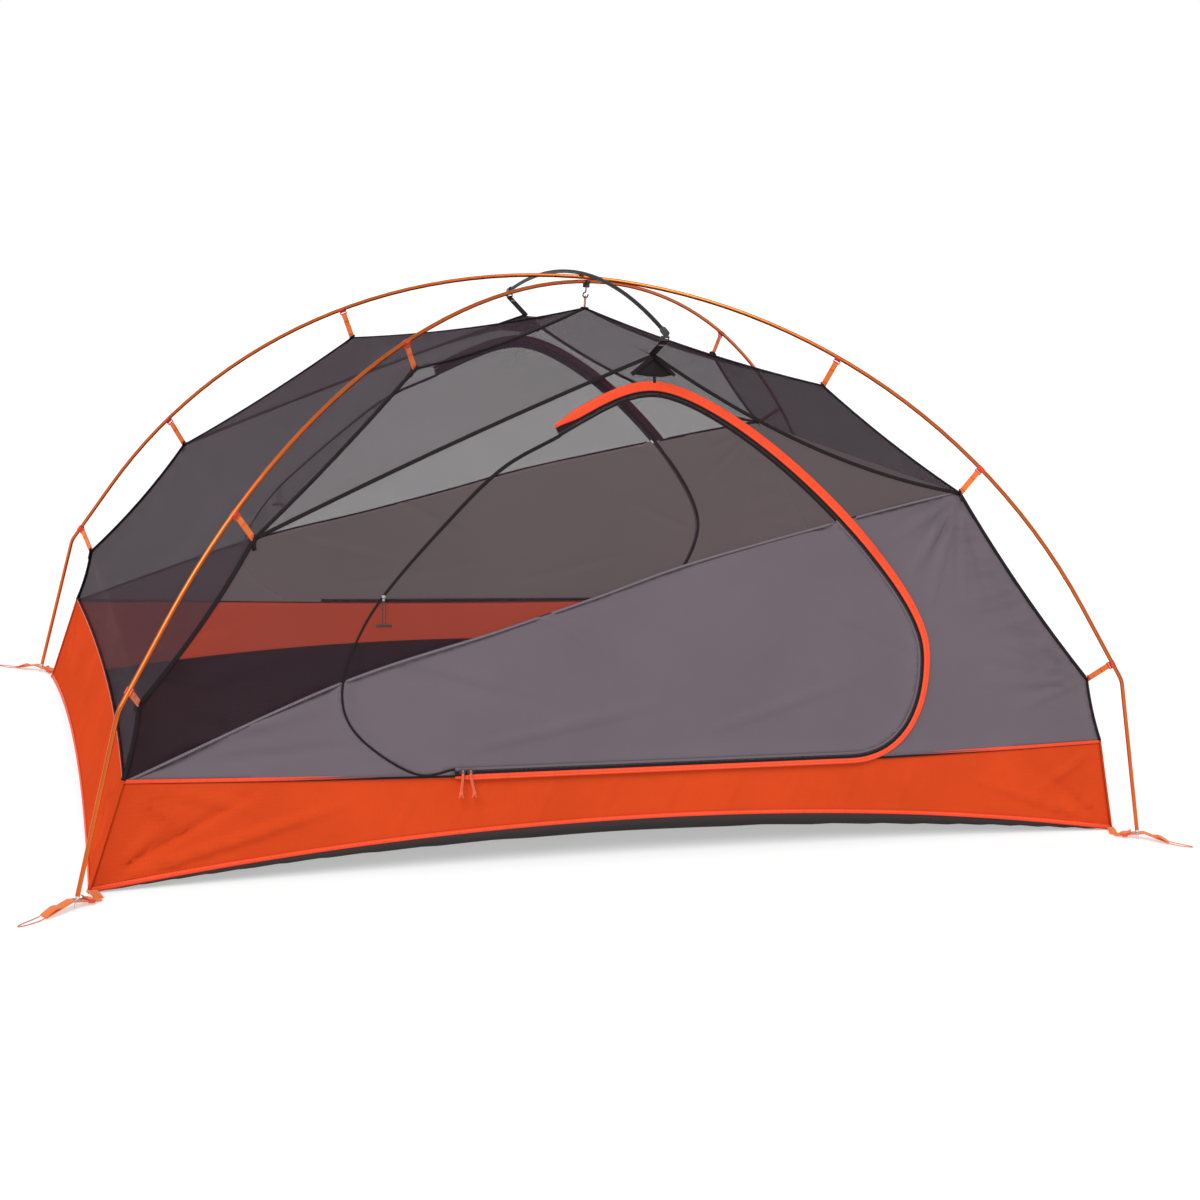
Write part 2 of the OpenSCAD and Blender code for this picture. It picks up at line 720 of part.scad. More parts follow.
// A snap clip: Z along the pole, X towards the cloth
module snap_clip() {
  difference() {
    cylinder(r = clip_r, h = clip_l, center = true);
    cylinder(d = pole_d + 2 * pole_fit, h = clip_l + 2, center = true);
    translate([-clip_r - 0.28 * pole_d, 0, 0]) cube([2 * clip_r, 3 * clip_r, clip_l + 2], center = true);
  }
}

module clip_with_eye() {
  snap_clip();
  far = eye_in + eye_slot + eye_bar;
  difference() {
    translate([clip_r - 0.8, -1.6, -clip_l / 2 - 1]) cube([far - clip_r + 0.8, 3.2, clip_l + 2]);
    translate([eye_in, -3, -eye_half]) cube([eye_slot, 6, 2 * eye_half]);
  }
}

module each_clip() {
  for (side = [-1, 1]) for (my = [-1, 1]) for (i = [0 : 2]) {
    s = clip_run(side)[i];
    at = leg_place(s, side, my);
    place(at, leg_points(side, -my)[i + 1] - at, leg_dir(s, side, my)) children();
  }
}

module pole_clips() {
  color(orange) each_clip() clip_with_eye();
}

module clip_tabs() {
  color(orange) for (side = [-1, 1]) for (my = [-1, 1]) for (i = [0 : 2]) {
    s = clip_run(side)[i];
    at = leg_place(s, side, my);
    along = leg_dir(s, side, my);
    hold = leg_points(side, -my)[i + 1];
    to = hold - at;
    flat = unit(to - (to * along) * along);
    from = at + flat * (eye_in + eye_slot);
    difference() {
      strap(from, hold - tab_end * unit(hold - from), tab_w, tab_t, along);
      place(at, to, along) translate([0, -tab_w, -tab_w])
        cube([eye_in + eye_slot + eye_bar + 0.1, 2 * tab_w, 2 * tab_w]);
    }
  }
}

// ---- Ridge pole ----

brow_x = -16;
brow_rise = 81 / 529 * brow_reach;
brow_r = (brow_reach * brow_reach + brow_rise * brow_rise) / 2 / brow_rise;
brow_a = asin(brow_reach / brow_r);
brow_end = [brow_x, brow_reach, brow_h - brow_rise];
cup_depth = 16;
cup_d = pole_d + 2 * pole_fit + 5;

module brow_plane() {
  translate([brow_x, 0, 0]) rotate([0, 0, 90]) children();
}

module brow_pole() {
  cut = (cup_depth - 3) / brow_r * 180 / PI;
  color(black) brow_plane() translate([0, 0, brow_h - brow_r])
    arc_sweep(brow_r, -brow_a + cut, brow_a - cut) ring(pole_d, bore_d);
}

// The frame of a ridge pole's end: Z back up the pole, X towards the cabin's middle line below it
module at_brow_ends() {
  for (k = [0, 1]) mirror([0, k, 0]) place(brow_end, [0, -sin(brow_a), -cos(brow_a)],
    [0, -cos(brow_a), sin(brow_a)]) children();
}

module brow_tips() {
  color(metal) at_brow_ends() {
    translate([0, 0, 2]) cylinder(d = pole_d, h = cup_depth - 3 - 2 - 0.1);
    translate([0, 0, cup_depth - 6]) cylinder(d = plug_d, h = 16);
  }
}

lug_x = cup_d / 2 + 1;

module brow_cups() {
  color(black) at_brow_ends() {
    difference() {
      translate([0, 0, -4]) cylinder(d = cup_d, h = cup_depth + 4);
      translate([0, 0, 1.5]) cylinder(d = pole_d + 2 * pole_fit, h = cup_depth);
    }
    translate([cup_d / 2 - 1, -9, -4]) difference() {
      cube([9, 18, 4]);
      translate([3.5, 2, -1]) cube([3, 14, 6]);
    }
  }
}

brow_strap_w = 16;

module brow_straps() {
  eye = brow_end + (cup_d / 2 + 9.5) * [0, -sin(brow_a), -cos(brow_a)] - 2 * [0, -cos(brow_a), sin(brow_a)];
  tip = [0, -apex.y, apex.z] + [0, 3, 3];
  color(black) for (k = [0, 1]) mirror([0, k, 0]) strap(eye, tip, brow_strap_w, tab_t, [1, 0, 0]);
}

// ---- Hook at the peak ----

yoke_w = 11;
yoke_t = 2.5;
head_d = 6;
stem_d = 3;
yoke_z = clip_r + 4;
hook_r = 6;
wire_d = 3.2;
hook_z = pole_a_h - yoke_z - yoke_t - 17;
loop_r = 4;
loop_d = 2.5;

module at_crossing() {
  place([0, 0, pole_a_h], [0, 0, -1], [cos(pole_turn), sin(pole_turn), 0]) children();
}

module peak_clip() {
  color(black) at_crossing() difference() {
    union() {
      snap_clip();
      for (y = [-1, 1]) translate([clip_r - 2.6, y > 0 ? yoke_w / 2 - 2 : -yoke_w / 2, -yoke_w / 2])
        cube([yoke_z - clip_r + 3, 2, yoke_w]);
      translate([yoke_z, -yoke_w / 2, -yoke_w / 2]) cube([yoke_t, yoke_w, yoke_w]);
    }
    translate([yoke_z - 1, 0, 0]) rotate([0, 90, 0]) cylinder(d = stem_d + 2 * pole_fit, h = yoke_t + 2);
    cylinder(d = pole_d + 2 * pole_fit, h = clip_l + 2, center = true);
  }
}

module peak_hook() {
  color(black) {
    translate([0, 0, pole_a_h - yoke_z + seam_gap]) cylinder(d = head_d, h = 1.5);
    translate([0, 0, hook_z + hook_r]) cylinder(d = stem_d, h = pole_a_h - yoke_z + seam_gap + 1 - hook_z - hook_r);
    translate([0, 0, hook_z]) rotate([90, 0, 0]) rotate([0, 0, 90]) rotate_extrude(angle = 290) translate([hook_r, 0])
      circle(d = wire_d);
  }
}

module peak_loop() {
  top = hook_z - hook_r;
  low = cabin_h + binding_d / 2 + loop_r + loop_d / 2 + seam_gap;
  color(orange) {
    translate([0, 0, top]) rotate([90, 0, 90]) rotate_extrude(angle = 180) translate([loop_r, 0]) circle(d = loop_d);
    translate([0, 0, low]) rotate([90, 0, 90]) rotate([0, 0, 180]) rotate_extrude(angle = 180) translate([loop_r, 0])
      circle(d = loop_d);
    for (y = [-loop_r, loop_r]) translate([0, y, low]) cylinder(d = loop_d, h = top - low);
  }
}

// ---- Zip sliders, their pulls and the tie-back toggles ----

slider_l = 11;
slider_x = [-422, -406];
plate_t = 1.2;
// Heights above the wall's plane of the slider's faces
slide_in = -cloth_t / 2 - chain_t / 2 - moving_gap;
slide_out = -cloth_t / 2 + chain_t / 2 + moving_gap;
slider_low = flap_w + 0.6;
slider_high = chain_at + chain_w + moving_gap;
back_t = 1.6;
bridge_y = (slider_low + slider_high) / 2;
bridge_out = 3.9;
bridge_d = 1.6;

function zip_low(d) = to_wall([0, flap_low * sz]).y + d;

// Frame of a slider: X along the zip, Y up the wall from the flap's lower edge, Z out of the wall
module at_slider(i) {
  on_front_wall() translate([slider_x[i] * sx, zip_low(0), 0]) children();
}

module slider(i) {
  high = slider_high + back_t;
  color(metal) at_slider(i) {
    for (z = [slide_in - plate_t, slide_out]) translate([-slider_l / 2, slider_low, z])
      cube([slider_l, high - slider_low, plate_t]);
    translate([-slider_l / 2, slider_high, slide_in - 0.1]) cube([slider_l, back_t, slide_out - slide_in + 0.2]);
    for (x = [-slider_l / 2 + 0.5, slider_l / 2 - 2]) translate([x, bridge_y - 2, slide_out + plate_t - 0.1])
      cube([1.5, 4, bridge_out + bridge_d / 2 + 0.1]);
    translate([-slider_l / 2 + 0.5, bridge_y, slide_out + plate_t + bridge_out]) rotate([0, 90, 0])
      cylinder(d = bridge_d, h = slider_l - 1);
  }
}

pull_d = 2.2;
pull_half = 2.4;
pull_l = 46;
pull_lean = 19;
eye_r = bridge_d / 2 + moving_gap + pull_d / 2;

// Y and Z of the bridge's centre line on slider i
function bridge_at() = let (up = [wall_lean, 1] / slope, out = [-up.y, up.x])
  [wall_y(tub_h), tub_h] + (zip_low(0) + bridge_y) * up + (slide_out + plate_t + bridge_out) * out;

// A cord loop through the bridge with a knotted end, hanging beside the floor wall
module pull(i) {
  b = bridge_at();
  color(orange) translate([slider_x[i] * sx, b.x, b.y]) rotate([-pull_lean, 0, 0]) {
    rotate([0, 90, 0]) rotate_extrude() translate([eye_r, 0]) circle(d = pull_d);
    translate([0, 0, -eye_r - pull_l]) cylinder(d = pull_d + 1.4, h = pull_l);
    translate([0, 0, -eye_r - pull_l]) sphere(d = pull_d + 3.2);
  }
}

toggle_at = [-573, 529];
knob_d = 9;
toggle_l = 32;
toggle_drop = 56;
toggle_d = 5.5;

module toggle() {
  p = to_wall([toggle_at.x * sx, toggle_at.y * sz]);
  color(black) on_front_wall() translate([p.x, p.y, knob_d / 2 + seam_gap]) {
    sphere(d = knob_d);
    for (x = [-3, 3]) translate([x, -1, 0]) rotate([90, 0, 0]) cylinder(d = loop_d, h = toggle_drop);
    translate([-toggle_l / 2, -toggle_drop, 0]) rotate([0, 90, 0]) cylinder(d = toggle_d, h = toggle_l);
  }
}

module rear() {
  mirror([0, 1, 0]) children();
}

floor_sheet();
floor_hems();
floor_wall_side();  // floor_wall_front
rear() floor_wall_side();  // floor_wall_rear
floor_wall_end();  // floor_wall_left
mirror([1, 0, 0]) floor_wall_end();  // floor_wall_right
left_end_mesh();
right_end_mesh();
right_end_cloth();
color(net) roof_panel();  // front_roof_mesh
color(net) rear() roof_panel();  // rear_roof_mesh
wall_mesh();  // front_wall_mesh
rear() wall_mesh();  // rear_wall_mesh
wall_cloth();  // front_wall_cloth
rear() wall_cloth();  // rear_wall_cloth
door_mesh();  // front_door_mesh
rear() door_mesh();  // rear_door_mesh
door_cloth();  // front_door_cloth
rear() door_cloth();  // rear_door_cloth
storm_flap();  // front_storm_flap
rear() storm_flap();  // rear_storm_flap
zip_chain();  // front_zip_chain
rear() zip_chain();  // rear_zip_chain
seam_bindings();
clip_tabs();
pole_clips();
main_pole_a();
main_pole_b();
pole_ferrules();
pole_tips();
shock_cord_a();
shock_cord_b();
brow_pole();
brow_tips();
brow_cups();
brow_straps();
peak_clip();
peak_hook();
peak_loop();
corner_straps();
corner_grommets();
buckle_front_left();
buckle_front_right();
buckle_rear_left();
buckle_rear_right();
stake_loop_front_left();
stake_loop_front_right();
stake_loop_rear_left();
stake_loop_rear_right();
slider(0);  // front_slider_a
slider(1);  // front_slider_b
rear() slider(0);  // rear_slider_a
rear() slider(1);  // rear_slider_b
pull(0);  // front_pull_a
pull(1);  // front_pull_b
rear() pull(0);  // rear_pull_a
rear() pull(1);  // rear_pull_b
toggle();  // front_toggle
rear() toggle();  // rear_toggle
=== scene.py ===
import math

import bmesh
import bpy
import numpy as np
from bpy.props import FloatProperty, FloatVectorProperty, PointerProperty
from mathutils import Matrix, Vector, geometry


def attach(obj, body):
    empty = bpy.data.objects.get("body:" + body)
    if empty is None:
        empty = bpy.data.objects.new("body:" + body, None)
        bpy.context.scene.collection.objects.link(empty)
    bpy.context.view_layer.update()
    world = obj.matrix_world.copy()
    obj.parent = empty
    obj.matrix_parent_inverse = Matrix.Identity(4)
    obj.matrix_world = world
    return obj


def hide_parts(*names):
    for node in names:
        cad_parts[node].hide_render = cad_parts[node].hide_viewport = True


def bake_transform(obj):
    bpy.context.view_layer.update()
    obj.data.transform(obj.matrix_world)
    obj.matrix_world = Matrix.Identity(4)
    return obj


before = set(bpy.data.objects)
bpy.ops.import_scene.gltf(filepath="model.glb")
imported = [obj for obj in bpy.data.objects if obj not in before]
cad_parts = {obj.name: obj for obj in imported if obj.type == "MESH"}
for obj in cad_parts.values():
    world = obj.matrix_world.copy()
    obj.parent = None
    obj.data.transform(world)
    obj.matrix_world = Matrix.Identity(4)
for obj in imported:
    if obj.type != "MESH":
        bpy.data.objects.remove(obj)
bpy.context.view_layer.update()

bl_info = {
    "name": "Dome tent on poles",
    "version": (1, 0, 0),
    "blender": (4, 5, 0),
    "location": "View3D > Sidebar > Tent",
    "description": "Builds the cloth, net, webbing, zips and poles of a two-person dome tent around its CAD frame",
    "category": "Add Mesh",
}

# ---- Sizes shared with the frame, in metres ----

HALF_L = 1.120
HALF_W = 0.685
TUB_H = 0.212
TUB_IN_X = 0.060
TUB_IN_Y = 0.012
TUB_DIP = 0.018
WALL_LEAN = 0.30
SLOPE = math.sqrt(1 + WALL_LEAN * WALL_LEAN)
END_TOP_BOW = 0.020
SIDE_LIFT, SIDE_RUN = 0.090, 0.150
END_LIFT, END_RUN, END_BOW = 0.045, 0.075, 0.015
PEAK = np.array([0.0, 0.0, 1.057])
APEX_Z = 1.000
FLAP_LOW = 0.178
POLE_D = 0.0087
POLE_HIGH = {0: 1.117, 1: 1.126}
BROW_HIGH = 1.135
FOOT = np.array([HALF_L + 0.027, HALF_W + 0.060])
FOOT_D = float(np.hypot(*FOOT))
POLE_TURN = math.atan2(FOOT[1], FOOT[0])
ARC_R = 1.045 * FOOT_D
ARC_A = math.radians(55.2)
STRAIGHT = 0.128 * FOOT_D
ELBOW_R = 0.060
TIP_SHIFT = 0.0007
CLIP_R = POLE_D / 2 + 0.00025 + 0.0022
EYE_IN, EYE_SLOT, EYE_BAR, EYE_HALF = CLIP_R + 0.0012, 0.0026, 0.0023, 0.0065
TAB_W, TAB_END = 0.012, 0.0044
STRAP_Z, STRAP_W, STRAP_T = 0.014, 0.020, 0.0019
STRAP_TILT, STRAP_REACH = math.radians(28), 0.0575
RING_X, RING_GAP, GROMMET_X = -0.044, 0.0063, 0.014
BROW_X, BROW_REACH = -0.016, 0.529
BROW_RISE = 0.081
BROW_R = (BROW_REACH ** 2 + BROW_RISE ** 2) / 2 / BROW_RISE
BROW_A = math.asin(BROW_REACH / BROW_R)
SLIDER_X = (-0.422, -0.406)
TOGGLE_AT = (-0.573, 0.529)
SLIDER_Y, SLIDER_Z = 0.682127, 0.203153
PULL_LEAN, PULL_R, PULL_SPREAD = math.radians(19), 0.0030, 0.0014
PULL_SWING = {"a": -0.0045, "b": 0.0060}
CUP_DROP, CUP_BACK = 0.0166, 0.002
LOOP_LOW, LOOP_HIGH, LOOP_R = 1.0644, 1.0807, 0.004
SIDES = (("front", 1), ("rear", -1))
CORNERS = [(side, my) for side in (-1, 1) for _, my in SIDES]


# ---- Small geometry helpers ----

def bow(t, half):
    return 1 - (np.asarray(t) / half) ** 2


def unit(v):
    v = np.asarray(v, float)
    return v / np.maximum(np.linalg.norm(v, axis=-1, keepdims=True), 1e-12)


def mix(a, b, t):
    return np.asarray(a, float) + (np.asarray(b, float) - np.asarray(a, float)) * t


def smooth(t):
    t = np.clip(t, 0, 1)
    return t * t * (3 - 2 * t)


def bezier(a, b, c, d, n):
    t = np.linspace(0, 1, n)[:, None]
    a, b, c, d = (np.array(p, float) for p in (a, b, c, d))
    return (1 - t) ** 3 * a + 3 * t * (1 - t) ** 2 * b + 3 * t * t * (1 - t) * c + t ** 3 * d


def through(points, n=12):
    """A smooth curve through points, n steps between neighbours."""
    p = np.array(points, float)
    p = np.vstack([2 * p[0] - p[1], p, 2 * p[-1] - p[-2]])
    out = []
    for i in range(1, len(p) - 2):
        for t in np.linspace(0, 1, n, endpoint=False):
            out.append(0.5 * (2 * p[i] + (p[i + 1] - p[i - 1]) * t
                              + (2 * p[i - 1] - 5 * p[i] + 4 * p[i + 1] - p[i + 2]) * t ** 2
                              + (3 * p[i] - p[i - 1] - 3 * p[i + 1] + p[i + 2]) * t ** 3))
    return np.array(out + [p[-2]])


def distances(line):
    """How far along a polyline each of its points lies."""
    return np.r_[0, np.cumsum(np.linalg.norm(np.diff(line, axis=0), axis=1))]


def spaced(points, step):
    """The polyline with points about step apart."""
    p = np.array(points, float)
    d = distances(p)
    keep = np.r_[True, np.diff(d) > 1e-9]
    p, d = p[keep], d[keep]
    at = np.linspace(0, d[-1], max(2, int(round(d[-1] / step)) + 1))
    return np.stack([np.interp(at, d, p[:, k]) for k in range(p.shape[1])], 1)


def length_of(points):
    return float(np.linalg.norm(np.diff(np.asarray(points), axis=0), axis=1).sum())


def inside(points, loop):
    """Which 2D points lie inside a closed loop."""
    x, y = points[:, 0][:, None], points[:, 1][:, None]
    a, b = loop, np.roll(loop, -1, 0)
    ax, ay, bx, by = a[:, 0], a[:, 1], b[:, 0], b[:, 1]
    cross = ((ay > y) != (by > y)) & (x < (bx - ax) * (y - ay) / np.where(by == ay, 1e-12, by - ay) + ax)
    return cross.sum(1) % 2 == 1


def distance_to(points, line):
    """Distance of each 2D point from a polyline."""
    best = np.full(len(points), 1e9)
    for a, b in zip(line[:-1], line[1:]):
        ab = b - a
        t = np.clip((points - a) @ ab / max(ab @ ab, 1e-12), 0, 1)
        best = np.minimum(best, np.linalg.norm(points - (a + t[:, None] * ab), axis=1))
    return best


def creases(points, rows):
    """Height of soft creases over 2D points. A row is (start, end, width, height)."""
    out = np.zeros(len(points))
    for a, b, width, height in rows:
        a, b = np.array(a, float), np.array(b, float)
        ab = b - a
        t = (points - a) @ ab / (ab @ ab)
        off = (points[:, 0] - a[0]) * ab[1] - (points[:, 1] - a[1]) * ab[0]
        off = off / np.linalg.norm(ab)
        taper = np.where((t > 0) & (t < 1), np.sin(np.pi * np.clip(t, 0, 1) ** 0.7), 0)
        out += height * taper * np.exp(-(off / (width * (0.5 + 0.5 * np.clip(t, 0, 1)))) ** 2)
    return out


def fan(at, first, last, count, reach, width, height, seed):
    """Creases that radiate from one point, between two angles in degrees."""
    rng = np.random.default_rng(seed)
    rows = []
    for k in range(count):
        a = math.radians(first + (last - first) * (k + 0.5 + rng.uniform(-0.3, 0.3)) / count)
        r = reach * rng.uniform(0.55, 1.1)
        rows.append((at, (at[0] + r * math.cos(a), at[1] + r * math.sin(a)), width * rng.uniform(0.7, 1.3),
                     height * rng.uniform(0.5, 1.0) * (1 if k % 2 else -0.7)))
    return rows


def ripple(points, scale, seed):
    """Slow unevenness between -1 and 1."""
    rng = np.random.default_rng(seed)
    out = np.zeros(len(points))
    for _ in range(7):
        k = rng.normal(size=points.shape[1]) / scale
        out += np.sin(points @ k + rng.uniform(0, 6.28))
    return out / 4


# ---- Mesh helpers ----

def mesh_piece(name, verts, faces, uv=None):
    mesh = bpy.data.meshes.new(name)
    mesh.from_pydata([tuple(map(float, v)) for v in verts], [], [tuple(int(i) for i in f) for f in faces])
    if uv is not None:
        layer = mesh.uv_layers.new(name="UVMap")
        order = np.zeros(len(mesh.loops), np.int32)
        mesh.loops.foreach_get("vertex_index", order)
        layer.data.foreach_set("uv", np.asarray(uv, np.float32)[order].ravel())
    mesh.polygons.foreach_set("use_smooth", [True] * len(mesh.polygons))
    mesh.update()
    piece = bpy.data.objects.new(name, mesh)
    bpy.context.scene.collection.objects.link(piece)
    return piece


def piece_from(name, work):
    """An object with a bmesh's faces, all smooth."""
    mesh = bpy.data.meshes.new(name)
    work.to_mesh(mesh)
    work.free()
    mesh.polygons.foreach_set("use_smooth", [True] * len(mesh.polygons))
    piece = bpy.data.objects.new(name, mesh)
    bpy.context.scene.collection.objects.link(piece)
    return piece


def outward(piece):
    """Turns a closed mesh's faces outwards."""
    work = bmesh.new()
    work.from_mesh(piece.data)
    bmesh.ops.recalc_face_normals(work, faces=work.faces)
    work.to_mesh(piece.data)
    work.free()
    return piece


def sweep(name, path, up, profile, taper=None):
    """A closed 2D profile, given across and up, carried along a path whose upward direction is up."""
    path = np.asarray(path, float)
    profile = np.asarray(profile, float)
    n, m = len(path), len(profile)
    up = np.broadcast_to(np.asarray(up, float), path.shape)
    along = unit(np.gradient(path, axis=0))
    across = unit(np.cross(along, up))
    top = unit(np.cross(across, along))
    size = np.ones(n) if taper is None else np.asarray(taper, float)
    size = size[:, None, None]
    rings = path[:, None] + size * (across[:, None] * profile[None, :, :1] + top[:, None] * profile[None, :, 1:])
    faces = [(i * m + j, i * m + (j + 1) % m, (i + 1) * m + (j + 1) % m, (i + 1) * m + j)
             for i in range(n - 1) for j in range(m)]
    faces += [tuple(range(m - 1, -1, -1)), tuple(range((n - 1) * m, n * m))]
    uv = np.stack([np.repeat(distances(path), m), np.tile(distances(profile), n)], 1)
    return outward(mesh_piece(name, rings.reshape(-1, 3), faces, uv))


def bar_tack(p, half, up, wide, thick):
    """A dense bar of stitches across a strap."""
    return sweep("tack", np.array([p - half, p, p + half]), up, flat_tape(wide, thick))


def circle(d, n=12):
    a = np.linspace(0, 2 * math.pi, n, endpoint=False)
    return np.stack([np.cos(a), np.sin(a)], 1) * d / 2


def flat_tape(width, thick, lift=0.0):
    """Section of a soft tape with rounded edges and a slightly crowned face."""
    w, t = width / 2, thick / 2
    return np.array([(-w, 0), (-w * 0.93, -t), (w * 0.93, -t), (w, 0), (w * 0.93, t * 0.9), (w * 0.4, t * 1.1),
                     (-w * 0.4, t * 1.1), (-w * 0.93, t * 0.9)]) + [0, lift]


def thicken(piece, thick):
    solid = piece.modifiers.new("Thickness", "SOLIDIFY")
    solid.thickness = thick
    solid.offset = -1.0
    return piece


def patch(name, ring, middle, uv, thick):
    """A doubled piece of cloth: a closed ring of points, filled round its middle."""
    n = len(ring)
    faces = [(i, (i + 1) % n, n) for i in range(n)]
    return thicken(face_away(mesh_piece(name, np.vstack([ring, [middle]]), faces, uv)), thick)


def lined(piece, outer, inner):
    """A thin sheet whose inner side has a finish of its own."""
    paint(piece, outer)
    piece.data.materials.append(FINISH[inner])
    piece.modifiers["Thickness"].material_offset = 1
    return piece


def join(name, pieces):
    """Joins meshes into one piece and keeps their UVs and materials."""
    bpy.context.view_layer.update()
    with bpy.context.temp_override(active_object=pieces[0], selected_editable_objects=pieces):
        bpy.ops.object.join()
    pieces[0].name = name
    pieces[0].data.name = name
    return pieces[0]


def paint(piece, finish):
    piece.data.materials.clear()
    piece.data.materials.append(FINISH[finish])
    return piece


def settle(piece, body, finish=None, stands_for=()):
    """Gives a finished piece its material, its body and the CAD nodes that it stands for."""
    if finish is not None:
        paint(piece, finish)
    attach(piece, body)
    if stands_for:
        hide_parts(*stands_for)
    return piece


def grid_sheet(name, rows, uv):
    """A sheet from a grid of 3D points (r, c, 3) with its cloth coordinates (r, c, 2)."""
    r, c = rows.shape[:2]
    i, j = np.meshgrid(np.arange(r - 1), np.arange(c - 1), indexing="ij")
    a = (i * c + j).ravel()
    faces = np.stack([a, a + 1, a + c + 1, a + c], 1)
    return mesh_piece(name, rows.reshape(-1, 3), faces, uv.reshape(-1, 2))


def cloth_uv(rows):
    """Cloth coordinates of a grid, in metres along its rows and columns."""
    across = np.linalg.norm(np.diff(rows, axis=1), axis=2)
    down = np.linalg.norm(np.diff(rows, axis=0), axis=2)
    u = np.concatenate([np.zeros((rows.shape[0], 1)), np.cumsum(across, 1)], 1)
    v = np.concatenate([np.zeros((1, rows.shape[1])), np.cumsum(down, 0)], 0)
    return np.stack([u - u[:, -1:] / 2, np.broadcast_to(v.mean(1, keepdims=True), u.shape)], 2)


def area_of(piece):
    return sum(p.area for p in piece.data.polygons)


BAND_SHARE = 0.31


def declare_sheet(piece):
    """Works out a stretched sheet's cut from its own cloth coordinates, and keeps nothing of it.

    A band that runs round a door fills little of its box, so its cut is given a lower height.
    """
    uv = np.zeros(len(piece.data.loops) * 2)
    piece.data.uv_layers["UVMap"].data.foreach_get("uv", uv)
    uv = uv.reshape(-1, 2)
    flat = np.ptp(uv, axis=0)
    area = min(area_of(piece), float(flat[0] * flat[1]))
    flat[1] = min(flat[1], area / flat[0] / BAND_SHARE)


# ---- Settings a user would change ----

def colour(name, description, default):
    return FloatVectorProperty(name=name, description=description, subtype="COLOR", size=3, min=0, max=1,
                               default=default)


def size(name, description, default, low, high):
    return FloatProperty(name=name, description=description, default=default, min=low, max=high, unit="LENGTH",
                         precision=4)


class TentSizes(bpy.types.PropertyGroup):
    cloth: size("Cloth thickness", "Thickness of every cloth and net panel", 0.0006, 0.0002, 0.001)
    panel_grid: size("Panel grid", "Spacing of the points in the cloth panels", 0.010, 0.008, 0.03)
    seam_sag: size("Seam sag", "How far a seam curves in between two held points", 0.009, 0.0, 0.03)
    crease: size("Crease height", "Height of the strongest creases in the cloth", 0.0080, 0.0, 0.012)
    binding: size("Binding width", "Width of the black tape on the seams", 0.009, 0.004, 0.015)
    flap: size("Storm flap width", "Width of the flap over each zip", 0.020, 0.015, 0.025)
    tooth: size("Tooth pitch", "Distance between the teeth of a zip", 0.0026, 0.0015, 0.005)
    stitch: size("Stitch pitch", "Distance between the stitches of a seam", 0.0055, 0.003, 0.01)


class TentColours(bpy.types.PropertyGroup):
    wall: colour("Floor wall", "Coated cloth of the floor's walls", (0.60, 0.060, 0.014))
    flap: colour("Storm flap", "Coated cloth of the zip flaps", (0.84, 0.072, 0.026))
    floor: colour("Floor", "Coated cloth of the floor", (0.034, 0.023, 0.023))
    net: colour("Net", "Netting of the canopy", (0.046, 0.031, 0.040))
    canopy: colour("Canopy cloth", "Opaque cloth of the canopy", (0.130, 0.104, 0.121))
    # Painted light: the opaque cloth's inner side is coloured lighter than its outer side, for daylight that comes
    # through the cloth.
    lining_with_painted_backlight: colour("Cloth's inner side", "Inner side of the opaque cloth", (0.24, 0.205, 0.205))
    # Painted light: the coated walls' inner side is a lighter orange than their outer side, for daylight that comes
    # through the cloth.
    wall_lining_with_painted_backlight: colour("Floor wall's inner side", "Inner side of the coated walls", (0.92, 0.115, 0.040))
    tape: colour("Tape", "Binding tape and zip tape", (0.016, 0.011, 0.013))
    webbing: colour("Webbing", "Webbing straps and clip tabs", (0.80, 0.16, 0.020))
    plastic: colour("Coloured plastic", "Clips and buckles", (0.66, 0.045, 0.012))
    dark: colour("Dark plastic", "Cups, hook and toggles", (0.020, 0.019, 0.020))
    pole: colour("Pole", "Anodised long poles", (0.66, 0.135, 0.026))
    cord: colour("Cord", "Stake cords and zip pulls", (0.78, 0.12, 0.030))


class TentStage(bpy.types.PropertyGroup):
    key: FloatProperty(name="Key light", description="Power of the large soft light", default=18, min=0, unit="POWER")
    fill: FloatProperty(name="Fill light", description="Power of the light on the other side", default=6, min=0,
                        unit="POWER")
    sky: FloatProperty(name="Surroundings", description="Brightness of the soft surroundings", default=0.62, min=0)
    sun: FloatProperty(name="Overhead light", description="Strength of the wide light from above", default=2.1, min=0)


# ---- Materials ----

def add(tree, kind, settings=None, **inputs):
    """A shader node with its settings and with named inputs, each a value or an output socket."""
    made = tree.nodes.new("ShaderNode" + kind)
    for key, value in (settings or {}).items():
        setattr(made, key, value)
    for key, value in inputs.items():
        socket = made.inputs[int(key[1:])] if key[0] == "i" and key[1:].isdigit() else made.inputs[key]
        if isinstance(value, bpy.types.NodeSocket):
            tree.links.new(value, socket)
        else:
            socket.default_value = value
    return made


def calc(tree, operation, a, b=0.0, c=0.0):
    return add(tree, "Math", {"operation": operation}, i0=a, i1=b, i2=c).outputs[0]


def fresh_material(name, rough, metal=0.0, sheen=0.0, coat=0.0, specular=0.5, alpha=1.0):
    material = bpy.data.materials.new(name)
    material.use_nodes = True
    tree = material.node_tree
    shader = tree.nodes["Principled BSDF"]
    for key, value in (("Roughness", rough), ("Metallic", metal), ("Sheen Weight", sheen), ("Coat Weight", coat),
                       ("Specular IOR Level", specular), ("Alpha", alpha)):
        shader.inputs[key].default_value = value
    return material, tree, shader


def cloth_place(tree):
    """Cloth coordinates, along and across, in metres."""
    uv = add(tree, "TexCoord").outputs["UV"]
    split = add(tree, "SeparateXYZ", i0=uv)
    return split.outputs[0], split.outputs[1]


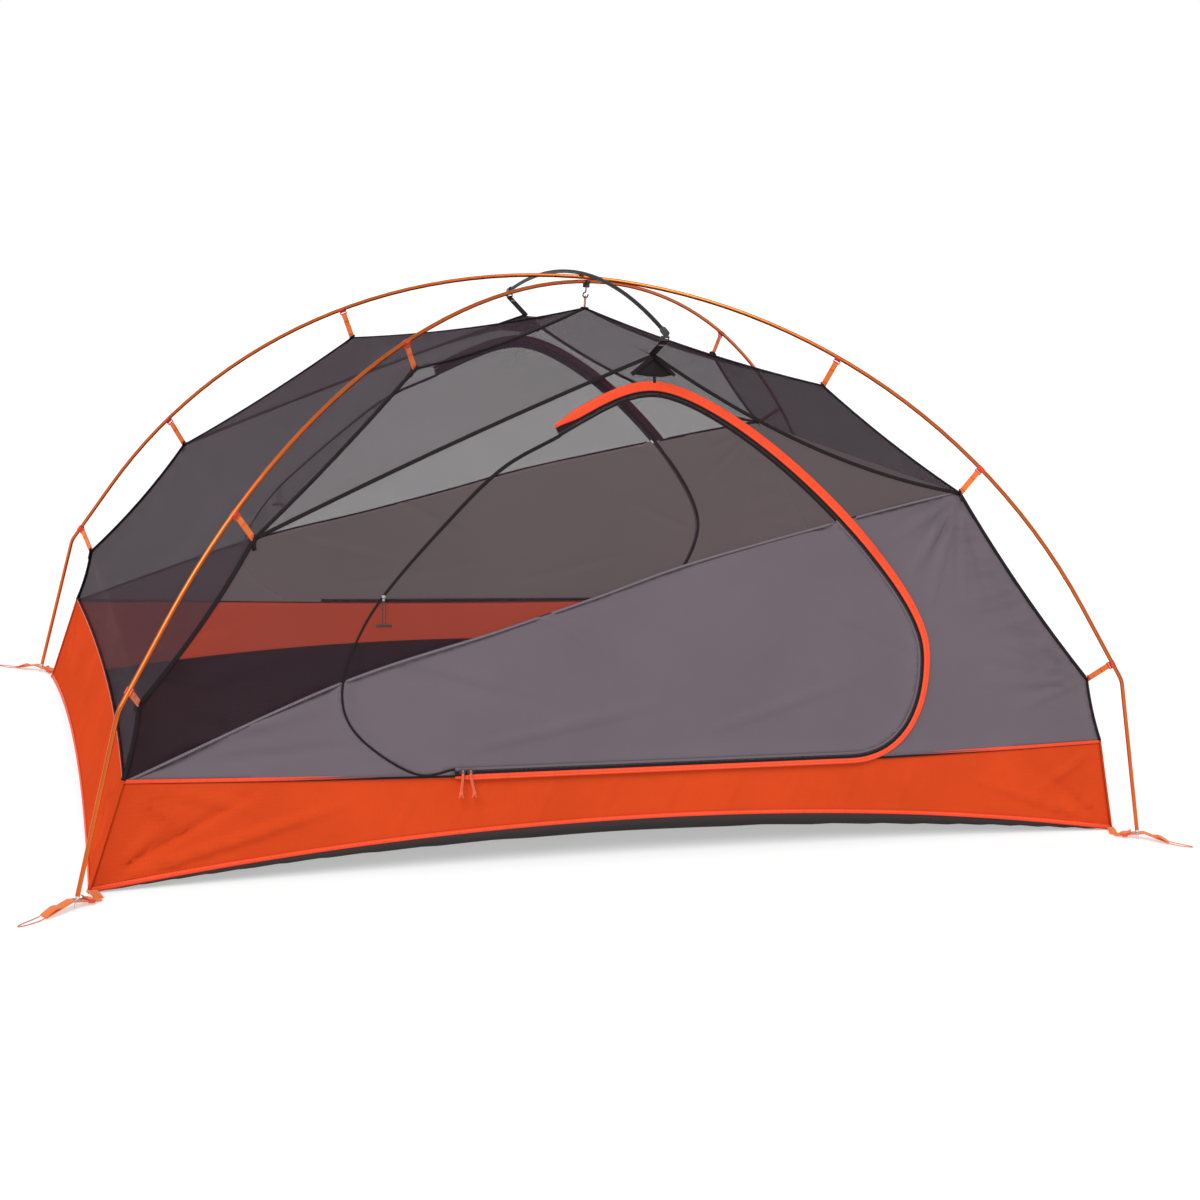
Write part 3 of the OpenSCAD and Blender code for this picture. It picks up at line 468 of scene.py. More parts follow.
def wave(tree, along, period, phase=0.0):
    """A sine of that period over a coordinate, between 0 and 1."""
    turn = calc(tree, "MULTIPLY_ADD", along, 2 * math.pi / period, phase)
    return calc(tree, "MULTIPLY_ADD", calc(tree, "SINE", turn), 0.5, 0.5)


def thin_lines(tree, along, period, share):
    """Narrow lines at that period: 1 on the line and 0 off it."""
    where = calc(tree, "PINGPONG", along, period / 2)
    return calc(tree, "LESS_THAN", where, period * share / 2)


def blend_of(tree, *terms):
    """The sum of several outputs, each times its own weight."""
    whole = None
    for value, weight in terms:
        part = calc(tree, "MULTIPLY", value, weight)
        whole = part if whole is None else calc(tree, "ADD", whole, part)
    return whole


def shaded(tree, shader, rgb, low, high, factor):
    """Gives the surface its colour, between low and high times itself."""
    a = tuple(min(1.0, x * low) for x in rgb) + (1,)
    b = tuple(min(1.0, x * high) for x in rgb) + (1,)
    made = add(tree, "Mix", {"data_type": "RGBA"})
    made.inputs[6].default_value, made.inputs[7].default_value = a, b
    tree.links.new(factor, made.inputs[0])
    tree.links.new(made.outputs[2], shader.inputs["Base Color"])


def object_noise(tree, scale, detail=3.0, rough=0.5):
    place = add(tree, "TexCoord").outputs["Object"]
    return add(tree, "TexNoise", Vector=place, Scale=scale, Detail=detail, Roughness=rough).outputs[0]


def bump(tree, shader, height, distance, strength=0.6):
    made = add(tree, "Bump", Strength=strength, Distance=distance, Height=height)
    tree.links.new(made.outputs[0], shader.inputs["Normal"])


def woven(name, rgb, rough, period=0.0009, grid=0.006, specular=0.4, spread=0.12):
    """Plain weave with a ripstop grid, slow colour change and an uneven finish."""
    material, tree, shader = fresh_material(name, rough, specular=specular)
    u, v = cloth_place(tree)
    threads = calc(tree, "MULTIPLY", wave(tree, u, period), wave(tree, v, period, 1.6))
    lines = calc(tree, "MAXIMUM", thin_lines(tree, u, grid, 0.10), thin_lines(tree, v, grid, 0.10))
    slow = object_noise(tree, 5.5, 4.0, 0.6)
    fine = object_noise(tree, 260.0, 2.0)
    mixed = blend_of(tree, (slow, 0.62), (fine, 0.14), (threads, 0.16), (lines, -0.10))
    shaded(tree, shader, rgb, 1 - 2.2 * spread, 1 + 2.2 * spread, mixed)
    tree.links.new(calc(tree, "MULTIPLY_ADD", slow, 0.16, rough - 0.08), shader.inputs["Roughness"])
    bump(tree, shader, blend_of(tree, (threads, 0.5), (lines, 0.5)), 0.00006, 0.3)
    return material


def netting(name, rgb, alpha):
    """Fine knitted net: diamonds of thread, seen through by one even share."""
    material, tree, shader = fresh_material(name, 0.7, specular=0.02, alpha=alpha)
    u, v = cloth_place(tree)
    slant = wave(tree, calc(tree, "MULTIPLY_ADD", v, 0.6, u), 0.0013)
    other = wave(tree, calc(tree, "MULTIPLY_ADD", v, -0.6, u), 0.0013)
    threads = calc(tree, "MAXIMUM", slant, other)
    slow = object_noise(tree, 4.0, 3.0)
    shaded(tree, shader, rgb, 0.65, 1.35, blend_of(tree, (threads, 0.14), (slow, 0.75)))
    return material


def ribbed(name, rgb, rough=0.7, period=0.0016, sheen=0.4):
    """Ribbed webbing or tape: slanted ribs across it and a fine thread along it."""
    material, tree, shader = fresh_material(name, rough, sheen=sheen, specular=0.12)
    u, v = cloth_place(tree)
    ribs = wave(tree, calc(tree, "MULTIPLY_ADD", calc(tree, "PINGPONG", v, 0.003), 0.8, u), period)
    fine = wave(tree, v, period * 0.6)
    worn = object_noise(tree, 45.0, 3.0)
    shaded(tree, shader, rgb, 0.68, 1.32, blend_of(tree, (ribs, 0.45), (worn, 0.5)))
    bump(tree, shader, calc(tree, "MULTIPLY_ADD", fine, 0.35, ribs), 0.0003, 0.6)
    return material


def moulded(name, rgb, rough=0.42, coat=0.0):
    """Moulded plastic with a fine grain and slightly rubbed gloss."""
    material, tree, shader = fresh_material(name, rough, coat=coat, specular=0.5)
    grain = object_noise(tree, 900.0, 2.0)
    rubbed = object_noise(tree, 60.0, 3.0)
    shaded(tree, shader, rgb, 0.8, 1.2, rubbed)
    tree.links.new(calc(tree, "MULTIPLY_ADD", rubbed, 0.25, rough - 0.12), shader.inputs["Roughness"])
    bump(tree, shader, grain, 0.00008, 0.35)
    return material


def metal(name, rgb, rough):
    """Drawn metal: fine streaks and slightly uneven colour."""
    material, tree, shader = fresh_material(name, rough, metal=1.0)
    fine = object_noise(tree, 1800.0, 2.0)
    worn = object_noise(tree, 22.0, 4.0)
    shaded(tree, shader, rgb, 0.86, 1.12, worn)
    tree.links.new(calc(tree, "MULTIPLY_ADD", worn, 0.14, rough - 0.07), shader.inputs["Roughness"])
    bump(tree, shader, fine, 0.00003, 0.3)
    return material


def braided(name, rgb):
    """Braided cord: crossed strands that wind round it."""
    material, tree, shader = fresh_material(name, 0.68, sheen=0.35, specular=0.3)
    u, v = cloth_place(tree)
    one = wave(tree, calc(tree, "ADD", u, v), 0.0014)
    two = wave(tree, calc(tree, "SUBTRACT", u, v), 0.0014)
    strands = calc(tree, "MULTIPLY", one, two)
    shaded(tree, shader, rgb, 0.6, 1.3, calc(tree, "MULTIPLY_ADD", strands, 0.7, 0.2))
    bump(tree, shader, strands, 0.0003, 0.7)
    return material


def lit_through(material, rgb, strength):
    """Adds a weak even light of its own, as of cloth that daylight comes through."""
    shader = material.node_tree.nodes["Principled BSDF"]
    shader.inputs["Emission Color"].default_value = (*rgb, 1)
    shader.inputs["Emission Strength"].default_value = strength
    return material


def backdrop_surface(name):
    """An even white, for the camera only."""
    material, _, shader = fresh_material(name, 1.0, specular=0.0)
    shader.inputs["Base Color"].default_value = (0, 0, 0, 1)
    return lit_through(material, (1, 1, 1), 1.0)


def floor_surface(name):
    """Pale studio floor that glows a little, so that it stays white beyond the lights."""
    material, tree, shader = fresh_material(name, 0.9, specular=0.0)
    shaded(tree, shader, (0.62, 0.62, 0.62), 0.99, 1.01, object_noise(tree, 30.0, 4.0))
    return lit_through(material, (1, 1, 1), 0.42)


FINISH = {}
# Colours of the glow painted on the inner sides of the coated walls and the opaque cloth, for daylight that comes
# through them.
WALL_GLOW, LINING_GLOW = (1.0, 0.13, 0.045), (1.0, 0.86, 0.84)


def make_finishes(c):
    """Every finish of the tent and the stage, by the name that the steps use."""
    FINISH.update({
        "wall": woven("Coated_orange_cloth", c.wall, 0.8, period=0.0011, grid=0.0065, specular=0.0),
        # Painted light: the coated walls' inner side gets a lighter orange and a glow of its own, for daylight that
        # comes through the cloth.
        "wall_inner_painted_glow": lit_through(woven("Coated_orange_cloth_inside_painted_glow", c.wall_lining_with_painted_backlight, 0.6, period=0.0011,
                                        specular=0.1), WALL_GLOW, 0.50),
        "flap": woven("Storm_flap_cloth", c.flap, 0.45, period=0.0011, grid=0.05, specular=0.08),
        "floor": woven("Floor_cloth", c.floor, 0.6, period=0.0012, grid=0.05, specular=0.04),
        "canopy": woven("Canopy_cloth", c.canopy, 0.5, period=0.0009, grid=0.005, specular=0.08, spread=0.08),
        # Painted light: the opaque cloth's inner side gets a lighter colour and a glow of its own, for daylight that
        # comes through the cloth.
        "canopy_inner_painted_glow": lit_through(woven("Canopy_cloth_inside_painted_glow", c.lining_with_painted_backlight, 0.6, period=0.0009, specular=0.1,
                                          spread=0.08), LINING_GLOW, 0.17),
        "net": netting("Wall_net", c.net, 0.33),
        "roof_net": netting("Roof_net", c.net, 0.45),
        "end_net": netting("End_net", c.net, 0.70),
        "tape": ribbed("Binding_tape", c.tape, 0.8, 0.0012, 0.0),
        "zip_tape": ribbed("Zip_tape", c.tape, 0.8, 0.0009, 0.0),
        "webbing": ribbed("Orange_webbing", c.webbing),
        "dark_webbing": ribbed("Black_webbing", c.tape, 0.8, sheen=0.0),
        "plastic": moulded("Orange_plastic", c.plastic),
        "dark": moulded("Black_plastic", c.dark, 0.38),
        "teeth": moulded("Zip_teeth", c.dark, 0.3),
        "pole": metal("Orange_anodised", c.pole, 0.30),
        "dark_pole": metal("Black_anodised", (0.022, 0.022, 0.025), 0.42),
        "steel": metal("Bare_aluminium", (0.72, 0.72, 0.74), 0.32),
        "enamel": moulded("Slider_enamel", (0.045, 0.045, 0.05), 0.28, coat=0.4),
        "cord": braided("Orange_cord", c.cord),
        "elastic": braided("Elastic_cord", c.dark),
        "thread": moulded("Orange_thread", (0.80, 0.20, 0.08), 0.6),
        "pale_thread": moulded("Grey_thread", (0.36, 0.32, 0.34), 0.6),
        "stage": floor_surface("Studio_floor"),
        "backdrop": backdrop_surface("Studio_backdrop"),
    })


# ---- Rows of stitches and teeth ----

def row_tree():
    """Geometry Nodes: one small bar after another along a line, as one real mesh."""
    tree = bpy.data.node_groups.new("Row_along_line", "GeometryNodeTree")
    face = tree.interface
    face.new_socket("Line", in_out="INPUT", socket_type="NodeSocketGeometry")
    face.new_socket("Bar", in_out="INPUT", socket_type="NodeSocketObject")
    face.new_socket("Pitch", in_out="INPUT", socket_type="NodeSocketFloat")
    face.new_socket("Up", in_out="INPUT", socket_type="NodeSocketVector")
    face.new_socket("Material", in_out="INPUT", socket_type="NodeSocketMaterial")
    face.new_socket("Row", in_out="OUTPUT", socket_type="NodeSocketGeometry")
    n = tree.nodes
    start, end = n.new("NodeGroupInput"), n.new("NodeGroupOutput")
    curve = n.new("GeometryNodeMeshToCurve")
    points = n.new("GeometryNodeResampleCurve")
    points.mode = "LENGTH"
    tangent = n.new("GeometryNodeInputTangent")
    first, second = n.new("FunctionNodeAlignRotationToVector"), n.new("FunctionNodeAlignRotationToVector")
    first.axis, second.axis, second.pivot_axis = "X", "Z", "X"
    bar = n.new("GeometryNodeObjectInfo")
    copies, real = n.new("GeometryNodeInstanceOnPoints"), n.new("GeometryNodeRealizeInstances")
    finish = n.new("GeometryNodeSetMaterial")
    for a, b in ((start.outputs["Line"], curve.inputs[0]), (curve.outputs[0], points.inputs["Curve"]),
                 (start.outputs["Pitch"], points.inputs["Length"]), (points.outputs[0], copies.inputs["Points"]),
                 (tangent.outputs[0], first.inputs["Vector"]), (first.outputs[0], second.inputs["Rotation"]),
                 (start.outputs["Up"], second.inputs["Vector"]), (second.outputs[0], copies.inputs["Rotation"]),
                 (start.outputs["Bar"], bar.inputs[0]), (bar.outputs["Geometry"], copies.inputs["Instance"]),
                 (copies.outputs[0], real.inputs[0]), (real.outputs[0], finish.inputs[0]),
                 (start.outputs["Material"], finish.inputs["Material"]), (finish.outputs[0], end.inputs[0])):
        tree.links.new(a, b)
    return tree


def small_bar(name, long, wide, high):
    """A bar with bevelled ends, to be repeated: X along the row, Z up."""
    x, y, z = long / 2, wide / 2, high
    verts = [(-x, -y, 0), (x, -y, 0), (x, y, 0), (-x, y, 0),
             (-x * 0.7, -y * 0.6, z), (x * 0.7, -y * 0.6, z), (x * 0.7, y * 0.6, z), (-x * 0.7, y * 0.6, z)]
    faces = [(3, 2, 1, 0), (4, 5, 6, 7), (0, 1, 5, 4), (1, 2, 6, 5), (2, 3, 7, 6), (3, 0, 4, 7)]
    bar = mesh_piece(name, verts, faces)
    bar.hide_render = True
    return bar


ROWS = {}
STITCH, FINE_STITCH, ZIP_TOOTH = (0.0034, 0.0009, 0.0006), (0.0030, 0.0008, 0.0006), (0.0016, 0.0034, 0.0011)


def row_of(name, line, bar_size, pitch, up, finish):
    """A real mesh of bars along a line."""
    bar = small_bar(name + "_bar", *bar_size)
    if "tree" not in ROWS:
        ROWS["tree"] = row_tree()
    tree = ROWS["tree"]
    line = np.asarray(line, float)
    mesh = bpy.data.meshes.new(name + "_line")
    mesh.from_pydata([tuple(p) for p in line], [(i, i + 1) for i in range(len(line) - 1)], [])
    holder = bpy.data.objects.new(name + "_line", mesh)
    bpy.context.scene.collection.objects.link(holder)
    modifier = holder.modifiers.new("Row", "NODES")
    modifier.node_group = tree
    named = {s.name: s.identifier for s in tree.interface.items_tree if s.in_out == "INPUT"}
    modifier[named["Bar"]] = bar
    modifier[named["Pitch"]] = float(pitch)
    modifier[named["Up"]] = tuple(map(float, up))
    modifier[named["Material"]] = FINISH[finish]
    graph = bpy.context.evaluated_depsgraph_get()
    made = bpy.data.meshes.new_from_object(holder.evaluated_get(graph), depsgraph=graph)
    made.name = name
    bpy.data.objects.remove(holder)
    bpy.data.objects.remove(bar)
    piece = bpy.data.objects.new(name, made)
    bpy.context.scene.collection.objects.link(piece)
    return piece


# ---- The tent's own shape ----

CENTRE = np.array([0.0, 0.0, 0.4])


def wall_point(x, h, lift=0.0, my=1):
    """A side wall's point: x along the tent, h up the wall from the floor wall's corner, lift out of it."""
    x, h, lift = np.broadcast_arrays(np.asarray(x, float), h, lift)
    y = -HALF_W + TUB_IN_Y + (WALL_LEAN * h - lift) / SLOPE
    return np.stack([x, y * my, TUB_H + (h + WALL_LEAN * lift) / SLOPE], -1)


def wall_out(my):
    return np.array([0, -my, WALL_LEAN]) / SLOPE


def on_wall(line, lift, my):
    """A line in x and height up the wall, as points in space."""
    return wall_point(line[:, 0], line[:, 1], lift, my)


def climbed(p):
    """Points whose last coordinate is z, as x and height up the wall."""
    return np.stack([p[:, 0], (p[:, -1] - TUB_H) * SLOPE], 1)


def up_wall(points):
    """Points in x and z, in millimetres, as x and height up the wall in metres."""
    return climbed(np.array(points, float) / 1000)


def held_points(side, my):
    """Where one leg holds the cabin, from the floor wall's corner up to the peak."""
    mid = (0.818, 0.634) if side < 0 else (0.716, 0.739)
    flat = [(1.060, 0.212), (1.030, 0.344), mid]
    points = [(x, -HALF_W + TUB_IN_Y + WALL_LEAN * (z - TUB_H), z) for x, z in flat] + [(0.465, -0.304, 0.937), PEAK]
    return [np.array(p) * (side, my, 1) for p in points]


SAG_SHARE = (0.45, 1.1, 0.9, 1.35)


def leg_seam(side, my, sag, step=0.016):
    """The four stretches of the seam under one leg, each curving in between its held points."""
    runs = []
    points = held_points(side, my)
    for i, (a, b) in enumerate(zip(points[:-1], points[1:])):
        inwards = np.array([0, 0, -1.0])
        if i < 2:
            inwards = unit(np.cross(wall_out(my), b - a))
            inwards = -inwards if inwards[0] * side > 0 else inwards
        t = np.linspace(0, 1, max(6, int(np.linalg.norm(b - a) / step)))[:, None]
        runs.append(a + (b - a) * t + inwards * sag * SAG_SHARE[i] * 4 * t * (1 - t))
    return runs


def strung(runs):
    """Stretches that share their ends, as one line."""
    return np.vstack([runs[0]] + [r[1:] for r in runs[1:]])


def top_seam(n=48):
    """The wall's top seam in x and z, from the left held point over the apex to the right one."""
    t = np.linspace(0, 1, n)[:, None]
    belly = 4 * t * (1 - t)
    left = mix((-0.818, 0.634), (0, APEX_Z), t) + belly * (0, 0.008)
    right = mix((0, APEX_Z), (0.716, 0.739), t) - belly * (0, 0.042)
    return np.vstack([left, right[1:]])


def tub_top(x):
    return TUB_H - TUB_DIP * bow(x, HALF_L)


def zip_line():
    """Outer edge of the storm flap in x and height up the wall, from its upper end clockwise to its lower end."""
    low = FLAP_LOW * 1000
    p = np.vstack([bezier((-222, 862), (-130, 912), (-70, 949), (0, 949), 16),
                   bezier((0, 949), (110, 949), (330, 810), (492, 640), 30)[1:],
                   bezier((492, 640), (560, 566), (636, 480), (634, 400), 18)[1:],
                   bezier((634, 400), (632, 270), (560, low), (430, low), 24)[1:], [(-436, low)]])
    return spaced(up_wall(p), 0.012)


ZIP = zip_line()


def zip_at(d):
    """The zip's line moved towards the door by d."""
    along = unit(np.gradient(ZIP, axis=0))
    return ZIP + d * np.stack([along[:, 1], -along[:, 0]], 1)


CLOTH_LINE = spaced(through(up_wall([(-1055, 210), (-657, 372), (-345, 462), (-127, 528), (76, 592), (433, 680),
                                     (677, 735), (716, 739)])), 0.012)
DOOR_IN, HOLE_IN = 0.031, 0.020
HINGE = spaced(through([zip_at(DOOR_IN)[0], *up_wall([(-332, 768), (-457, 653), (-573, 529), (-629, 441), (-655, 360),
                                                      (-641, 295), (-583, 239), (-505, 199)]), zip_at(DOOR_IN)[-1]]),
               0.011)


def bend_with_door(piece):
    """Bakes a piece's placement into its points."""
    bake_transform(piece)


def hang(piece, finish=None, stands_for=()):
    """Gives a door's piece its material, bakes its placement and hides the CAD nodes that it stands for."""
    if finish is not None:
        paint(piece, finish)
    bend_with_door(piece)
    if stands_for:
        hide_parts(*stands_for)
    return piece


def face_away(piece, centre=CENTRE):
    """Turns an open sheet's faces away from a point."""
    mesh = piece.data
    total = sum((Vector(centre) - p.center).dot(p.normal) * p.area for p in mesh.polygons)
    if total > 0:
        mesh.flip_normals()
    return piece


def relief(rows, height):
    """Moves a grid of points along its own normals, away from the tent's centre where height is positive."""
    du, dv = np.gradient(rows, axis=1), np.gradient(rows, axis=0)
    normal = unit(np.cross(du, dv))
    away = np.sign(((rows - CENTRE) * normal).sum(-1, keepdims=True).mean())
    return rows + normal * away * height[..., None]


def border_fade(shape, reach_u, reach_v):
    """0 on the border of a grid and 1 further in, over shares of its size."""
    v = np.linspace(0, 1, shape[0])[:, None]
    u = np.linspace(0, 1, shape[1])[None, :]
    return smooth(np.minimum(u, 1 - u) / reach_u) * smooth(np.minimum(v, 1 - v) / reach_v)


def creased(rows, flat, lines, uneven, fade, sink=0.0):
    """A grid with creases and slow unevenness that fade out towards its border."""
    height = (creases(flat, lines) + uneven - sink).reshape(rows.shape[:2])
    return relief(rows, height * border_fade(rows.shape[:2], *fade))


# ---- Operators ----

def sizes():
    return bpy.context.scene.tent_sizes


def cloth_panel(name, rows, flip_from=CENTRE):
    """A thin sheet over a grid, with its faces outwards."""
    piece = face_away(grid_sheet(name, rows, cloth_uv(rows)), flip_from)
    return thicken(piece, sizes().cloth)


def end_rows(side, first, last, bulge):
    """Grid of an end panel between two held points of both legs."""
    sag = sizes().seam_sag
    front, rear = strung(leg_seam(side, 1, sag)[first:last]), strung(leg_seam(side, -1, sag)[first:last])
    t = np.linspace(-1, 1, 61)[None, :, None]
    rows = mix(front[:, None], rear[:, None], (t + 1) / 2)
    level = np.linspace(0, 1, len(rows))[:, None, None]
    push = bulge * (1 - t ** 2) * np.sin(np.pi * np.clip(level, 0, 1)) ** 0.7
    return rows - push * np.array([side, 0, 0.25])


class TENT_OT_floor(bpy.types.Operator):
    """Makes the floor, one dark sheet whose edges turn up to the floor walls"""
    bl_idname = "tent.floor"
    bl_label = "Floor"

    def execute(self, context):
        v, u = np.meshgrid(np.linspace(-1, 1, 71), np.linspace(-1, 1, 121), indexing="ij")
        u, v = np.sign(u) * np.abs(u) ** 0.8, np.sign(v) * np.abs(v) ** 0.7
        y = v * HALF_W
        x = u * (HALF_L - END_BOW * bow(y, HALF_W))
        side_in = HALF_W - SIDE_RUN * bow(x, HALF_L)
        end_in, end_out = HALF_L - END_RUN * bow(y, HALF_W), HALF_L - END_BOW * bow(y, HALF_W)

        def share(at, start, stop):
            return np.clip((np.abs(at) - start) / np.maximum(stop - start, 1e-4), 0, 1)

        side_z = SIDE_LIFT * bow(x, HALF_L) * share(y, side_in, HALF_W)
        end_z = END_LIFT * bow(y, HALF_W) * share(x, end_in, end_out)
        flat = np.stack([x, y], -1).reshape(-1, 2)
        folds = (ripple(flat, 0.16, 3) * 0.5 + 0.5).reshape(x.shape) * 0.0016
        rows = np.stack([x, y, np.maximum(side_z, end_z) + folds * border_fade(x.shape, 0.1, 0.1)], -1)
        piece = grid_sheet("Floor", rows, rows[..., :2])
        face_away(piece, (0, 0, 1))
        thicken(piece, sizes().cloth)
        settle(piece, "tent", "floor", ("floor_sheet", "floor_hems"))
        declare_sheet(piece)
        return {"FINISHED"}


def long_wall_rows(my):
    """Grid of a long floor wall, with its creases."""
    u, v = np.meshgrid(np.linspace(-1, 1, 221), np.linspace(0, 1, 19))
    low = np.stack([u * HALF_L, np.full_like(u, -HALF_W), SIDE_LIFT * bow(u * HALF_L, HALF_L)], -1)
    x = u * (HALF_L - TUB_IN_X)
    top = np.stack([x, np.full_like(u, -HALF_W + TUB_IN_Y), tub_top(x)], -1)
    rows = mix(low, top, v[..., None])
    flat = np.stack([rows[..., 0], rows[..., 2]], -1).reshape(-1, 2)
    h = sizes().crease
    lines = [((-1.10, 0.015), (-0.62, 0.155), 0.010, 1.4 * h), ((-1.09, 0.03), (-0.80, 0.19), 0.008, -1.1 * h),
             ((-1.05, 0.185), (-0.93, 0.10), 0.012, 1.3 * h), ((-1.04, 0.20), (-0.78, 0.135), 0.009, 0.9 * h),
             ((1.10, 0.015), (0.70, 0.150), 0.010, 1.1 * h), ((1.10, 0.02), (0.86, 0.185), 0.008, -1.0 * h),
             ((1.05, 0.19), (0.90, 0.10), 0.010, h), ((1.07, 0.07), (0.92, 0.055), 0.008, 0.8 * h)]
    lines += fan((-1.115, 0.0), 14, 60, 5, 0.30, 0.006, 0.7 * h, 11 + my)
    lines += fan((1.115, 0.0), 120, 166, 5, 0.30, 0.006, 0.7 * h, 21 + my)
    lines += [((x, 0.075), (x + 0.05, 0.19), 0.006, 0.35 * h) for x in np.linspace(-0.55, 0.55, 9)]
    rows = creased(rows, flat, lines, ripple(flat, 0.09, 5 + my) * 0.22 * h, (0.03, 0.16), 0.0008)
    rows[..., 1] *= my
    return rows


def end_top(y):
    """How far out the top edge of an end floor wall lies."""
    return HALF_L - TUB_IN_X - END_TOP_BOW * bow(y, HALF_W)


def end_wall_rows(side):
    """Grid of a short floor wall, with its creases."""
    u, v = np.meshgrid(np.linspace(-1, 1, 141), np.linspace(0, 1, 19))
    y = u * HALF_W
    low = np.stack([-HALF_L + END_BOW * bow(y, HALF_W), y, END_LIFT * bow(y, HALF_W)], -1)
    y = u * (HALF_W - TUB_IN_Y)
    top = np.stack([-end_top(y), y, np.full_like(y, TUB_H)], -1)
    rows = mix(low, top, v[..., None])
    flat = np.stack([rows[..., 1], rows[..., 2]], -1).reshape(-1, 2)
    h = sizes().crease
    lines = [((-0.66, 0.02), (-0.25, 0.17), 0.010, 1.2 * h), ((0.66, 0.02), (0.25, 0.16), 0.010, 1.2 * h),
             ((-0.65, 0.19), (-0.50, 0.09), 0.010, h), ((0.65, 0.19), (0.50, 0.09), 0.010, -h)]
    lines += fan((-0.68, 0.0), 15, 62, 5, 0.28, 0.006, 0.7 * h, 31 + side)
    lines += fan((0.68, 0.0), 118, 165, 5, 0.28, 0.006, 0.7 * h, 41 + side)
    rows = creased(rows, flat, lines, ripple(flat, 0.08, 9 + side) * 0.22 * h, (0.04, 0.16))
    rows[..., 0] *= -side
    return rows


class TENT_OT_floor_walls(bpy.types.Operator):
    """Makes the four coated walls of the floor with their creases, folded hems and stitching"""
    bl_idname = "tent.floor_walls"
    bl_label = "Floor walls"

    def execute(self, context):
        walls = [(front, long_wall_rows(my), (0, -my, 0)) for front, my in SIDES]
        walls += [(word, end_wall_rows(side), (side, 0, 0.28)) for side, word in ((-1, "left"), (1, "right"))]
        for word, rows, out in walls:
            piece = cloth_panel("Floor_wall_" + word, rows)
            settle(lined(piece, "wall", "wall_inner_painted_glow"), "tent", stands_for=("floor_wall_" + word,))
            declare_sheet(piece)
            hem_along("Floor_hem_" + word, rows, out)
        corner_folds = []
        for side, my in CORNERS:
            low = np.array([side * HALF_L, -my * HALF_W, 0.002])
            top = np.array([side * (HALF_L - TUB_IN_X), -my * (HALF_W - TUB_IN_Y), TUB_H])
            edge = mix(low, top, np.linspace(0, 1, 12)[:, None])
            corner_folds.append(sweep("fold", edge, (side, -my, 0.2), flat_tape(0.007, 0.0028, 0.0006)))
        settle(join("Floor_corner_folds", corner_folds), "tent", "wall")
        return {"FINISHED"}


def hem_along(name, rows, out):
    """The folded hem and its stitches along a floor wall's foot, and the fold along its top."""
    out = unit(np.array(out, float))
    foot = spaced(mix(rows[0], rows[-1], 0.035) + out * 0.0009, 0.012)
    head = spaced(rows[-1] + out * 0.0012, 0.012)
    fold = join(name, [sweep("foot", foot, out, flat_tape(0.009, 0.0016)),
                       sweep("head", head, out, flat_tape(0.0075, 0.0026))])
    settle(fold, "tent", "flap")
    line = mix(rows[0], rows[-1], 0.045) + out * 0.0016
    piece = row_of(name + "_stitches", spaced(line, 0.02), STITCH, sizes().stitch, out, "thread")
    settle(piece, "tent", "thread")


class TENT_OT_end_panels(bpy.types.Operator):
    """Makes the two end panels, net on the left and cloth below net on the right"""
    bl_idname = "tent.end_panels"
    bl_label = "End panels"

    def execute(self, context):
        h = sizes().crease
        for name, side, first, last, cad, finish, slot in (
                ("Left_end_net", -1, 0, 4, "left_end_mesh", "end_net", "canopy_mesh"),
                ("Right_end_cloth", 1, 0, 2, "right_end_cloth", "canopy", "canopy_cloth"),
                ("Right_end_net", 1, 2, 4, "right_end_mesh", "end_net", "canopy_mesh")):
            rows = end_rows(side, first, last, 0.014)
            if first == 0:
                rows[0, :, 0] = side * end_top(rows[0, :, 1])
                blend = smooth(np.linspace(1, 0, 9))[:, None] * END_TOP_BOW * bow(rows[1:10, :, 1], HALF_W)
                rows[1:10, :, 0] -= side * blend
            flat = np.stack([rows[..., 1], rows[..., 2]], -1).reshape(-1, 2)
            lines = []
            for my in (-1, 1):
                for p in held_points(side, my)[1:4]:
                    aim = 0 if my > 0 else 180
                    lines += fan((p[1], p[2]), aim - 35, aim + 35, 6, 0.32, 0.012, 0.8 * h, int(60 + 9 * p[2]))
            rows = creased(rows, flat, lines, 0.25 * h * ripple(flat, 0.10, 8 + last), (0.06, 0.06))
            piece = cloth_panel(name, rows)
            lined(piece, finish, "canopy_inner_painted_glow" if finish == "canopy" else finish)
            settle(piece, "tent", stands_for=(cad,))
            declare_sheet(piece)
        return {"FINISHED"}


